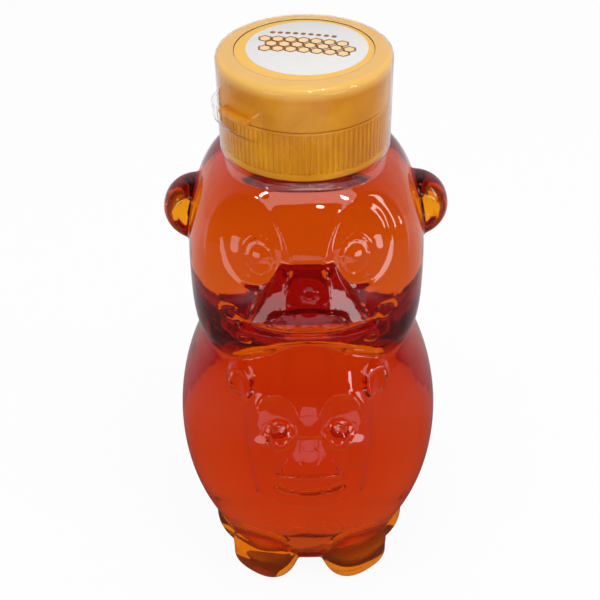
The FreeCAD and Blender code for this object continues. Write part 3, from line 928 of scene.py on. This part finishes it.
# %% Make the materials; the film clings to the cap inside, where it hardly reflects
pet, wet_pet, base_pet = blown_pet(), wetted_pet(), matt_pet()
honey_look, cap_plastic, sticker_paper = clear_honey(), moulded_pp(), coated_paper()
clear_film = shrunk_film("clear_shrink_film", Coat_Weight=0.7, Coat_IOR=1.5)
clinging_film = shrunk_film("clear_shrink_film_clinging", Specular_Tint=BLACK)
print("materials", [m.name for m in bpy.data.materials])


# %% Ribs round the skirt
def rib_tree():
    tree, given, result = new_tree(
        "ribs_round_a_cap",
        [("Rib Count", "NodeSocketInt"), ("Ring Radius", "NodeSocketFloat"), ("Rib Width", "NodeSocketFloat"),
         ("Rib Bottom", "NodeSocketVector"), ("Rib Top", "NodeSocketVector"),
         ("Material", "NodeSocketMaterial")],
    )
    ring = add_node(
        tree, "GeometryNodeMeshCircle", {"Vertices": given["Rib Count"], "Radius": given["Ring Radius"]}
    )
    spine = add_node(
        tree, "GeometryNodeCurvePrimitiveLine", {"Start": given["Rib Bottom"], "End": given["Rib Top"]}
    )
    half = add_node(tree, "ShaderNodeMath", {0: given["Rib Width"], 1: 0.5}, operation="MULTIPLY")
    outline = add_node(
        tree, "GeometryNodeCurvePrimitiveCircle", {"Resolution": 10, "Radius": half.outputs[0]}
    )
    bar = add_node(
        tree, "GeometryNodeCurveToMesh",
        {"Curve": spine.outputs["Curve"], "Profile Curve": outline.outputs["Curve"], "Fill Caps": True},
    )
    bars = add_node(
        tree, "GeometryNodeInstanceOnPoints",
        {"Points": ring.outputs["Mesh"], "Instance": bar.outputs["Mesh"]}
    )
    real = add_node(tree, "GeometryNodeRealizeInstances", {"Geometry": bars.outputs["Instances"]})
    dressed = add_node(
        tree, "GeometryNodeSetMaterial", {"Geometry": real.outputs["Geometry"], "Material": given["Material"]}
    )
    tree.links.new(dressed.outputs["Geometry"], result.inputs["Geometry"])
    return tree


RIB_COUNT = 96
RIB_SUNK, RIB_OVERLAP = 0.06, 0.05    # below the bands' outside, and into the bands

ribs = new_object("cap_ribs", bpy.data.meshes.new("cap_ribs"))
apply_nodes(ribs, rib_tree(), {
    "Rib Count": RIB_COUNT,
    "Ring Radius": (skirt_radius - RIB_SUNK - RIB_WIDTH / 2.0) * MM,
    "Rib Width": RIB_WIDTH * MM,
    "Rib Bottom": (0.0, 0.0, (rib_foot - RIB_OVERLAP) * MM),
    "Rib Top": (0.0, 0.0, (rib_head + RIB_OVERLAP) * MM),
    "Material": cap_plastic,
})
print("ribs", len(ribs.data.polygons), "faces")

# %% [markdown]
# ## The lid, its tab and its strap
#
# The lid flips open about a thin strap, lifted by the thumb tab opposite to it. It is turned like
# the skirt, with a well rounded rim. The tab and the strap are plain small blocks, so a cube with
# bevelled edges is the simplest way to make them.

# %% The lid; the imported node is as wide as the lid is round, for tab and strap stay within that
lid_radius = float(lid_high[0] - lid_low[0]) * 0.5
lid_bottom = skirt_top + 0.3
lid_top = sticker_low[2]
LID_HEM_EDGE, LID_ROUNDING = 0.2, 1.5
lid_profile = (
    rounded_corner(lid_radius - LID_HEM_EDGE, lid_bottom + LID_HEM_EDGE, LID_HEM_EDGE, 270, 360, 3)
    + rounded_corner(lid_radius - LID_ROUNDING, lid_top - LID_ROUNDING, LID_ROUNDING, 0, 90, 8)
    + [(ON_AXIS, lid_top), (ON_AXIS, lid_top - CAP_WALL), (lid_radius - CAP_WALL, lid_top - CAP_WALL),
       (lid_radius - CAP_WALL, lid_bottom)]
)
lid = new_object("flip_lid", turned("flip_lid", lid_profile))
print("lid", len(lid.data.polygons), "faces, from", round(lid_bottom, 2), "to", round(lid_top, 2))

# %% The thumb tab and the hinge strap
TAB_ANGLE = -50.0             # degrees from the front, towards the left
TAB_WIDTH, TAB_REACH, TAB_THICKNESS, TAB_EDGE = 10.0, 1.8, 1.6, 0.6
STRAP_HALF, STRAP_EDGE = (6.0, 0.5, 2.2), 0.25
STRAP_SUNK, STRAP_DROP = 0.55, 0.7


def block(name, half, centre, bend, turn):
    """A box with rounded edges, in millimetres, turned about the bottle's axis."""
    solid = bmesh.new()
    bmesh.ops.create_cube(solid, size=2.0)
    bmesh.ops.scale(solid, vec=[h * MM for h in half], verts=solid.verts)
    bmesh.ops.bevel(solid, geom=solid.edges[:], offset=bend * MM, segments=3, profile=0.5, affect="EDGES")
    bmesh.ops.translate(solid, vec=[c * MM for c in centre], verts=solid.verts)
    about_axis = Matrix.Rotation(math.radians(turn), 3, "Z")
    bmesh.ops.rotate(solid, cent=(0, 0, 0), matrix=about_axis, verts=solid.verts)
    mesh = bpy.data.meshes.new(name)
    for face in solid.faces:
        face.smooth = True
    solid.to_mesh(mesh)
    solid.free()
    return mesh


tab_out = (lid_radius - CAP_WALL + lid_radius + TAB_REACH) / 2.0
tab_half = (CAP_WALL + TAB_REACH) / 2.0
tab = new_object("thumb_tab", block(
    "thumb_tab", (TAB_WIDTH / 2.0, tab_half, TAB_THICKNESS / 2.0),
    (0.0, -tab_out, lid_bottom + TAB_THICKNESS / 2.0), TAB_EDGE, TAB_ANGLE,
))
strap_place = (0.0, STRAP_SUNK - lid_radius, lid_bottom - STRAP_DROP)
strap = new_object(
    "hinge_strap", block("hinge_strap", STRAP_HALF, strap_place, STRAP_EDGE, TAB_ANGLE + 180.0)
)
print("tab", len(tab.data.polygons), "faces, strap", len(strap.data.polygons), "faces")

# %% [markdown]
# ## The sticker
#
# A round paper label lies on the lid, a little off its middle as such labels do. It is turned from
# the profile of a thin disc, and its upper edge is rounded so that it catches a line of light.

# %% The sticker
sticker_middle = (sticker_low + sticker_high) / 2.0
sticker_radius = float(sticker_high[0] - sticker_low[0]) / 2.0
PAPER_EDGE = 0.05
sticker_profile = (
    [(ON_AXIS, sticker_low[2]), (sticker_radius, sticker_low[2])]
    + rounded_corner(sticker_radius - PAPER_EDGE, sticker_high[2] - PAPER_EDGE, PAPER_EDGE, 0, 90, 3)
    + [(ON_AXIS, sticker_high[2])]
)
sticker_mesh = turned("round_sticker", sticker_profile, 128)
sticker_mesh.transform(Matrix.Translation((sticker_middle[0] * MM, sticker_middle[1] * MM, 0.0)))
sticker = new_object("round_sticker", sticker_mesh)
print("sticker", round(2.0 * sticker_radius, 2), "mm across")

# %% [markdown]
# ## The print on the sticker
#
# The print is a strip of honeycomb: brown outlines with cream cells. Each cell is one thin
# six-sided plate, and Geometry Nodes sets them out in rows with every other row moved by half a
# cell, and bends the strip into an arc.

# %% Cells of a honeycomb strip
def comb_tree():
    tree, given, result = new_tree(
        "honeycomb_strip",
        [("Columns", "NodeSocketInt"), ("Rows", "NodeSocketInt"), ("Pitch", "NodeSocketFloat"),
         ("Cell Radius", "NodeSocketFloat"), ("Thickness", "NodeSocketFloat"), ("Middle", "NodeSocketVector"),
         ("Bend", "NodeSocketFloat"), ("Slope", "NodeSocketFloat"), ("Material", "NodeSocketMaterial")],
    )

    position = add_node(tree, "GeometryNodeInputPosition").outputs["Position"]
    place = add_node(tree, "ShaderNodeSeparateXYZ", {"Vector": position}).outputs
    known = {"pitch": given["Pitch"], "columns": given["Columns"], "rows": given["Rows"],
             "bend": given["Bend"], "slope": given["Slope"], "x": place["X"], "y": place["Y"]}
    # Each step is a name, a first value, an operation and a second value; a name stands for its result.
    for name, first, operation, second in (
        ("row pitch", "pitch", "MULTIPLY", math.sqrt(0.75)), ("columns less", "columns", "SUBTRACT", 1.0),
        ("rows less", "rows", "SUBTRACT", 1.0), ("width", "pitch", "MULTIPLY", "columns less"),
        ("length", "row pitch", "MULTIPLY", "rows less"), ("row from middle", "y", "DIVIDE", "row pitch"),
        ("half of rows", "rows less", "MULTIPLY", 0.5), ("row", "row from middle", "ADD", "half of rows"),
        ("whole row", "row", "ROUND", 0.0), ("odd", "whole row", "MODULO", 2.0),
        ("half pitch", "pitch", "MULTIPLY", 0.5), ("aside", "odd", "MULTIPLY", "half pitch"),
        ("across", "x", "ADD", "aside"), ("squared", "across", "MULTIPLY", "across"),
        ("bent", "squared", "MULTIPLY", "bend"), ("sloped", "across", "MULTIPLY", "slope"),
        ("sag", "bent", "ADD", "sloped"),
    ):
        values = {0: known.get(first, first), 1: known.get(second, second)}
        known[name] = add_node(tree, "ShaderNodeMath", values, operation=operation).outputs[0]
    spots = add_node(tree, "GeometryNodeMeshGrid", {
        "Size X": known["width"], "Size Y": known["length"],
        "Vertices X": given["Columns"], "Vertices Y": given["Rows"],
    })
    offset = add_node(tree, "ShaderNodeCombineXYZ", {"X": known["aside"], "Y": known["sag"]})
    moved = add_node(
        tree, "ShaderNodeVectorMath", {0: offset.outputs["Vector"], 1: given["Middle"]}, operation="ADD"
    )
    set_out = add_node(
        tree, "GeometryNodeSetPosition",
        {"Geometry": spots.outputs["Mesh"], "Offset": moved.outputs["Vector"]}
    )
    plate = add_node(tree, "GeometryNodeMeshCylinder", {
        "Vertices": 6, "Radius": given["Cell Radius"], "Depth": given["Thickness"],
    })
    cells = add_node(
        tree, "GeometryNodeInstanceOnPoints",
        {"Points": set_out.outputs["Geometry"], "Instance": plate.outputs["Mesh"],
         "Rotation": (0.0, 0.0, math.pi / 6.0)},
    )
    real = add_node(tree, "GeometryNodeRealizeInstances", {"Geometry": cells.outputs["Instances"]})
    dressed = add_node(
        tree, "GeometryNodeSetMaterial", {"Geometry": real.outputs["Geometry"], "Material": given["Material"]}
    )
    tree.links.new(dressed.outputs["Geometry"], result.inputs["Geometry"])
    return tree


# %% The inks: an even colour, a little cloudy, as glossy as the paper
INK_CLOUD_SIZE = 1.5


def printed_ink(name, dark, light):
    material, tree, shader, _, place = new_material(name, Roughness=0.4, IOR=1.5)
    cloud = add_node(
        tree, "ShaderNodeTexNoise", {"Vector": place, "Scale": per_size(INK_CLOUD_SIZE), "Detail": 2.0}
    )
    colour = add_node(
        tree, "ShaderNodeValToRGB", {"Fac": cloud.outputs["Fac"]},
        stops=((0.0, linear(dark)), (1.0, linear(light)))
    )
    tree.links.new(colour.outputs["Color"], shader.inputs["Base Color"])
    return material


brown_ink = printed_ink("printed_brown_ink", "#8f5218", "#a8682a")
cream_ink = printed_ink("printed_cream_ink", "#ecc98c", "#f4dcae")
print("inks", brown_ink.name, cream_ink.name)

# %% Print the strip of comb and the row of dots; cream lies on brown, each a film of ink thick
INK = 0.01
COMB_PITCH, COMB_UP, OUTLINE_RADIUS, CELL_RADIUS = 3.15, 1.2, 1.88, 1.32
DOT_PITCH, DOTS_UP, DOT_RADIUS = 1.9, 7.6, 0.75
PRINT_ASIDE, PRINT_BEND, PRINT_SLOPE = -0.8, -6.0, -0.2

comb = comb_tree()
prints = []
for name, columns, rows, pitch, radius, up, layer, ink in (
    ("comb_outlines", 7, 3, COMB_PITCH, OUTLINE_RADIUS, COMB_UP, 0, brown_ink),
    ("comb_cells", 7, 3, COMB_PITCH, CELL_RADIUS, COMB_UP, 1, cream_ink),
    ("small_cells", 9, 1, DOT_PITCH, DOT_RADIUS, DOTS_UP, 0, brown_ink),
):
    printed = new_object(name, bpy.data.meshes.new(name))
    height = sticker_high[2] + INK * (layer + 0.5)
    middle = (sticker_middle[0] + PRINT_ASIDE, sticker_middle[1] + up, height)
    apply_nodes(printed, comb, {
        "Columns": columns, "Rows": rows, "Pitch": pitch * MM, "Cell Radius": radius * MM,
        "Thickness": INK * MM, "Middle": [part * MM for part in middle],
        "Bend": PRINT_BEND, "Slope": PRINT_SLOPE, "Material": ink,
    })
    prints.append(printed)
print("print", [len(p.data.polygons) for p in prints], "faces")

# %% [markdown]
# ## The shrink film
#
# The film is a sleeve that was shrunk by hot air over the cap. It folds over the lid's rim, stands
# off in a tent over the thumb tab, and is full of small creases there and along its hem. A sheet
# with rows round the cap is shaped by the same kind of rule and given its thickness by Solidify.

# %% The path of the sleeve, from its opening on the lid to its hem
FILM_GAP, FILM_THICKNESS = 0.1, 0.12
FILM_FOLD = 3.0                       # flat part on the lid
FILM_BELOW, FILM_CURL = 2.2, 0.7      # hem below the skirt, and how far it curls in


def film_path():
    """Distance from the axis and height along the sleeve."""
    radius = lid_radius + FILM_GAP
    bend = LID_ROUNDING + FILM_GAP
    bend_height = lid_top - LID_ROUNDING
    path = [(radius - bend - FILM_FOLD + FILM_FOLD * i / 8, lid_top + FILM_GAP) for i in range(8)]
    path += [(radius - bend + bend * math.sin(t), bend_height + bend * math.cos(t))
             for t in np.radians(np.linspace(0.0, 90.0, 8))]
    path += [(radius, blend(bend_height, cap_bottom, i / 40)) for i in range(1, 41)]
    for i in range(1, 9):
        path.append((radius - FILM_CURL * float(smooth_step(i / 8)), cap_bottom - FILM_BELOW * i / 8))
    return np.array(path)


print("path of the film", len(film_path()), "points")


# %% Small folds: mostly upright, strong round the tab, faint elsewhere
PLAIN_CREASE, TENT_CREASE, HEM_CREASE = 0.04, 0.22, 0.06


def creases(angle, z, tented):
    upright = np.sin(angle * 37.0 + 3.0 * np.sin(z * 0.45)) * np.sin(angle * 23.0 + z * 0.3)
    short = np.sin(angle * 90.0 + 2.0 * np.sin(z * 1.3)) * np.sin(z * 1.7 + 5.0 * np.sin(angle * 7.0))
    hem = smooth_step((cap_bottom + 0.5 - z) / 1.5)
    depth = PLAIN_CREASE + TENT_CREASE * tented + HEM_CREASE * hem
    return depth * (0.5 + 0.3 * upright + 0.35 * short)


# %% The sheet: the path turned round the cap, with its tent over the tab
FILM_SEGMENTS = 512
TENT_OFF = 0.75                       # how far the tent stands off the tab
TENT_BESIDE, TENT_HALF = 3.4, 5.5     # its slope at each side, and its half height
CREASED_HALF, CREASE_FADE = 9.0, 6.0
SHOULDER_GAP = 0.35


def film_points():
    path = film_path()
    angle = np.linspace(0.0, 2.0 * math.pi, FILM_SEGMENTS, endpoint=False)[:, None] - math.pi
    reach, z = path[None, :, 0], path[None, :, 1]
    along = np.abs(angle - math.radians(TAB_ANGLE)) * lid_radius
    beside = smooth_step(1.4 * (TAB_WIDTH / 2.0 + TENT_BESIDE - along) / TENT_BESIDE)
    above = np.abs(z - lid_bottom - TAB_THICKNESS / 2.0)
    over = smooth_step(1.2 * (TENT_HALF - above) / (TENT_HALF - TAB_THICKNESS))
    creased = beside * smooth_step((CREASED_HALF - above) / CREASE_FADE)
    on_side = reach > lid_radius - 1.0
    radius = reach + (TAB_REACH + TENT_OFF) * beside * over + creases(angle, z, creased) * on_side
    shoulder = head_reach(angle + 0.0 * z, z + 0.0 * angle, 0.0) + SHOULDER_GAP
    radius = np.where(z < cap_bottom, np.maximum(radius, shoulder), radius)
    return np.stack([radius * np.sin(angle), -radius * np.cos(angle), z + 0.0 * radius], -1)


grid = film_points()
rows = grid.shape[1]
here = np.arange(FILM_SEGMENTS * rows).reshape(FILM_SEGMENTS, rows)
after = np.roll(here, -1, 0)
film_faces = np.stack([here[:, 1:], after[:, 1:], after[:, :-1], here[:, :-1]], -1).reshape(-1, 4)
film = new_object("film_sleeve", mesh_from("film_sleeve", grid.reshape(-1, 3), film_faces))
print("sheet of film", len(film_faces), "faces")

# %% Give the sheet its thickness, and mark the faces that look inward
wall_of_film = film.modifiers.new("thickness", "SOLIDIFY")
wall_of_film.thickness = FILM_THICKNESS * MM
wall_of_film.offset = 1.0
finished_mesh(film)


def points_of_faces(thing, kind):
    values = np.empty(len(thing.data.polygons) * 3)
    thing.data.polygons.foreach_get(kind, values)
    return values.reshape(-1, 3)


centre = points_of_faces(film, "center") - np.array((0.0, 0.0, cap_bottom * MM))
inward = (points_of_faces(film, "normal") * centre).sum(1) < 0.0
film.data.polygons.foreach_set("material_index", inward.astype(np.int32))
print("film", len(inward), "faces, of which", inward.sum(), "lie on the cap")

# %% [markdown]
# ## Materials on the pieces
#
# The bottle takes three looks and the film two. Their faces were marked when they were made, so
# the mark picks the look. Crisp moulded edges are kept sharp, and everything else is shaded smooth.

# %% Dress the pieces
for thing, *looks in (
    (bottle, pet, wet_pet, base_pet), (honey, honey_look), (skirt, cap_plastic), (ribs, cap_plastic),
    (lid, cap_plastic), (tab, cap_plastic), (strap, cap_plastic), (sticker, sticker_paper),
    (film, clear_film, clinging_film),
):
    side = np.zeros(len(thing.data.polygons), np.int32)
    thing.data.polygons.foreach_get("material_index", side)
    thing.data.materials.clear()
    for look in looks:
        thing.data.materials.append(look)
    thing.data.polygons.foreach_set("material_index", np.minimum(side, len(looks) - 1))
for thing in (skirt, ribs, lid, sticker):
    sharpen(thing)
print("looks on the bottle", [m.name for m in bottle.data.materials])

# %% [markdown]
# ## The floor
#
# Clear and glossy things show what is around them. A real table and room are white where one looks
# straight at them, warm close to the honey, and show as dark and light shapes in a glossy skin. One
# plain white floor can't give all three, so the kind of ray decides which tone it meets: straight
# rays see white, rays through the bottle see the warm glow, mirrored rays see the dim table with
# its light strips, and all others see matt white paint.

# %% The matt floor, and distances on it
FLOOR_HALF = 900.0
corners = [(x * FLOOR_HALF, y * FLOOR_HALF, 0) for x, y in ((-1, -1), (1, -1), (1, 1), (-1, 1))]
floor = new_object("floor", mesh_from("floor", corners, [(0, 1, 2, 3)]))
floor_material = bpy.data.materials.new("matt_white_floor")
floor_material.use_nodes = True
tree = floor_material.node_tree
tree.nodes.clear()
paint = add_node(tree, "ShaderNodeBsdfDiffuse", {"Color": linear("#f4f4f2")})
spot = add_node(tree, "ShaderNodeTexCoord").outputs["Object"]
from_axis = add_node(tree, "ShaderNodeVectorMath", {0: spot}, operation="LENGTH").outputs["Value"]
on_floor = add_node(tree, "ShaderNodeSeparateXYZ", {"Vector": spot})
sideways = add_node(tree, "ShaderNodeMath", {0: on_floor.outputs["X"]}, operation="ABSOLUTE").outputs[0]
print("floor", 2.0 * FLOOR_HALF, "mm square")

# %% What shows through the bottle: the warm light that the honey casts, fading to white
CAST_REACH = 200.0
CAST = ((20.0, "#ffd6a4"), (44.0, "#ffc49c"), (90.0, "#f3cbbc"), (150.0, "#ffffff"))

under = add_node(tree, "ShaderNodeMapRange", {"Value": from_axis, "From Max": CAST_REACH * MM})
cast = add_node(
    tree, "ShaderNodeValToRGB", {"Fac": under.outputs["Result"]},
    stops=[(distance / CAST_REACH, linear(tone)) for distance, tone in CAST]
)
glow = add_node(tree, "ShaderNodeEmission", {"Color": cast.outputs["Color"], "Strength": 1.0})
print("cast of the honey, out to", CAST[-1][0], "mm")

# %% What the plastic mirrors: a dim table, darkest in front, with light strips further off
NEAR_SIDE, NEAR_SIDE_END = 90.0, 170.0
FAR_FROM, FAR_TO = 10.0, 170.0
STRIP_FULL, STRIP_END = 120.0, 200.0
STRIPS = ((0.285, BLACK), (0.31, WHITE), (0.45, WHITE), (0.465, BLACK), (0.478, BLACK), (0.49, WHITE))

beside = add_node(
    tree, "ShaderNodeMapRange",
    {"Value": sideways, "From Min": NEAR_SIDE * MM, "From Max": NEAR_SIDE_END * MM}
)
near = add_node(
    tree, "ShaderNodeMix",
    {0: beside.outputs["Result"], MIX_A: linear("#4a4446"), MIX_B: linear("#786a70")}, data_type="RGBA"
)
far = add_node(
    tree, "ShaderNodeMapRange",
    {"Value": on_floor.outputs["Y"], "From Min": FAR_FROM * MM, "From Max": FAR_TO * MM}
)
dim = add_node(
    tree, "ShaderNodeMix",
    {0: far.outputs["Result"], MIX_A: near.outputs[MIX_RESULT], MIX_B: linear("#d8d4d6")}, data_type="RGBA"
)
shade = add_node(tree, "ShaderNodeBsdfDiffuse", {"Color": dim.outputs[MIX_RESULT]})
bands = add_node(tree, "ShaderNodeValToRGB", {"Fac": from_axis}, stops=STRIPS)
ahead = add_node(
    tree, "ShaderNodeMapRange",
    {"Value": sideways, "From Min": STRIP_END * MM, "From Max": STRIP_FULL * MM}
)
strip = add_node(
    tree, "ShaderNodeMath", {0: bands.outputs["Color"], 1: ahead.outputs["Result"]}, operation="MULTIPLY"
)
light_strip = add_node(tree, "ShaderNodeEmission", {"Color": linear("#f4e4f4"), "Strength": 1.0})
mirrored_floor = add_node(
    tree, "ShaderNodeMixShader",
    {0: strip.outputs[0], 1: shade.outputs["BSDF"], 2: light_strip.outputs["Emission"]}
)
print("light strips", len(STRIPS), "stops")

# %% Join them by the kind of ray; a straight look meets almost pure white
STRAIGHT_SHARE = 0.92

kind_of_ray = add_node(tree, "ShaderNodeLightPath").outputs
by_mirror = add_node(
    tree, "ShaderNodeMixShader",
    {0: kind_of_ray["Is Glossy Ray"], 1: paint.outputs["BSDF"], 2: mirrored_floor.outputs["Shader"]}
)
by_plastic = add_node(
    tree, "ShaderNodeMixShader",
    {0: kind_of_ray["Is Transmission Ray"], 1: by_mirror.outputs["Shader"], 2: glow.outputs["Emission"]}
)
plain_white = add_node(tree, "ShaderNodeEmission", {"Color": WHITE, "Strength": 1.0})
straight = add_node(
    tree, "ShaderNodeMath", {0: kind_of_ray["Is Camera Ray"], 1: STRAIGHT_SHARE}, operation="MULTIPLY"
)
whole_floor = add_node(
    tree, "ShaderNodeMixShader",
    {0: straight.outputs[0], 1: by_plastic.outputs["Shader"], 2: plain_white.outputs["Emission"]}
)
add_node(tree, "ShaderNodeOutputMaterial", {"Surface": whole_floor.outputs["Shader"]})
floor.data.materials.append(floor_material)
print("floor", len(tree.nodes), "nodes")

# %% [markdown]
# ## The room
#
# The same holds for the room: white to straight rays and through the bottle, an even pale grey as
# light for the matt things, and to mirrored rays dark in front and pale behind.

# %% World
FRONT_END, BACK_START = -0.1, 0.6     # the direction's Y where the mirrored dark ends and the pale starts

world = bpy.data.worlds.new("pale_room")
bpy.context.scene.world = world
world.use_nodes = True
tree = world.node_tree
tree.nodes.clear()
towards = add_node(tree, "ShaderNodeTexCoord").outputs["Generated"]
direction = add_node(tree, "ShaderNodeSeparateXYZ", {"Vector": towards})
behind = add_node(
    tree, "ShaderNodeMapRange",
    {"Value": direction.outputs["Y"], "From Min": FRONT_END, "From Max": BACK_START}
)
mirrored = add_node(
    tree, "ShaderNodeMix",
    {0: behind.outputs["Result"], MIX_A: linear("#3c3638"), MIX_B: linear("#b8acb8")}, data_type="RGBA"
)
kind_of_ray = add_node(tree, "ShaderNodeLightPath").outputs
light = add_node(
    tree, "ShaderNodeMix",
    {0: kind_of_ray["Is Glossy Ray"], MIX_A: linear("#dededf"), MIX_B: mirrored.outputs[MIX_RESULT]},
    data_type="RGBA"
)
seen_white = add_node(
    tree, "ShaderNodeMath",
    {0: kind_of_ray["Is Camera Ray"], 1: kind_of_ray["Is Transmission Ray"]}, operation="MAXIMUM"
)
seen = add_node(
    tree, "ShaderNodeMix",
    {0: seen_white.outputs[0], MIX_A: light.outputs[MIX_RESULT], MIX_B: WHITE}, data_type="RGBA"
)
sky = add_node(tree, "ShaderNodeBackground", {"Color": seen.outputs[MIX_RESULT], "Strength": 1.0})
add_node(tree, "ShaderNodeOutputWorld", {"Surface": sky.outputs["Background"]})
print("world", len(tree.nodes), "nodes")

# %% [markdown]
# ## Lamps and camera
#
# A large panel above and a tall window at the right light the cap and the paper softly. Two low
# boxes in front only show as the sheen on both faces: they are hidden from rays that light matt
# things and from rays through the plastic. Three small lamps make the sparks on the film. The
# camera stands close and looks down, as a person does at a bottle on a table.

# %% Lamps
def soft_lamp(name, place, target, size, watts):
    data = bpy.data.lights.new(name, "AREA")
    data.shape = "RECTANGLE"
    data.size, data.size_y = size
    data.energy = watts
    lamp = new_object(name, data)
    lamp.location = place
    lamp.rotation_euler = (Vector(target) - Vector(place)).to_track_quat("-Z", "Y").to_euler()
    return lamp


BELLY_MIDDLE = (0.0, 0.0, 0.09)
for name, place, size, watts in (
    ("ceiling_panel", (0.05, -0.25, 0.75), (0.5, 0.3), 1.0),
    ("window", (0.5, -0.25, 0.3), (0.06, 0.3), 0.4),
    ("low_box_left", (-0.31, -0.43, 0.07), (0.22, 0.11), 0.17),
    ("low_box_right", (0.31, -0.43, 0.07), (0.2, 0.11), 0.3),
    ("small_lamp_1", (-0.18, -0.12, 0.62), (0.03, 0.03), 0.2),
    ("small_lamp_2", (0.16, -0.2, 0.62), (0.03, 0.03), 0.2),
    ("small_lamp_3", (0.05, -0.42, 0.62), (0.03, 0.03), 0.2),
):
    lamp = soft_lamp(name, place, BELLY_MIDDLE, size, watts)
    if name.startswith("low_box"):
        lamp.visible_diffuse = lamp.visible_transmission = False
    print(name, watts, "W")

# %% Light crosses six clear skins on its way through the bottle, and more where it is mirrored inside
BOUNCES = 32
bpy.context.scene.cycles.max_bounces = BOUNCES
bpy.context.scene.cycles.transmission_bounces = BOUNCES
print("bounces", BOUNCES)

# %% Camera
CAMERA_PLACE = (-0.00195, -0.2382, 0.2791)
CAMERA_PITCH = 38.3           # degrees below the horizon
CAMERA_ROLL = -0.9
LENS, SENSOR = 63.4, 36.0
NEAR_CLIP = 0.01

camera_data = bpy.data.cameras.new("camera")
camera_data.lens = LENS
camera_data.sensor_width = SENSOR
camera_data.clip_start = NEAR_CLIP
camera = new_object("camera", camera_data)
pitch = Matrix.Rotation(math.radians(90.0 - CAMERA_PITCH), 4, "X")
roll = Matrix.Rotation(math.radians(CAMERA_ROLL), 4, "Z")
camera.matrix_world = Matrix.Translation(CAMERA_PLACE) @ pitch @ roll
bpy.context.scene.camera = camera
bpy.context.scene.view_settings.view_transform = "Standard"
print("camera at", CAMERA_PLACE)

# %% [markdown]
# ## The frame
#
# Every piece rides the one body and replaces its solid.

# %% Tie the pieces to the frame
for thing, node, slot_name in (
    (bottle, "bottle", "clear_bottle"),
    (honey, "honey", "honey"),
    (skirt, "cap_base", "cap_plastic"),
    (ribs, "cap_base", "cap_plastic"),
    (lid, "cap_lid", "cap_plastic"),
    (tab, "cap_lid", "cap_plastic"),
    (strap, "cap_lid", "cap_plastic"),
    (sticker, "cap_sticker", "sticker_paper"),
    *((printed, "cap_sticker", "sticker_paper") for printed in prints),
    (film, "shrink_film", "clear_film"),
):
    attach(thing, "root")
    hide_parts(node)
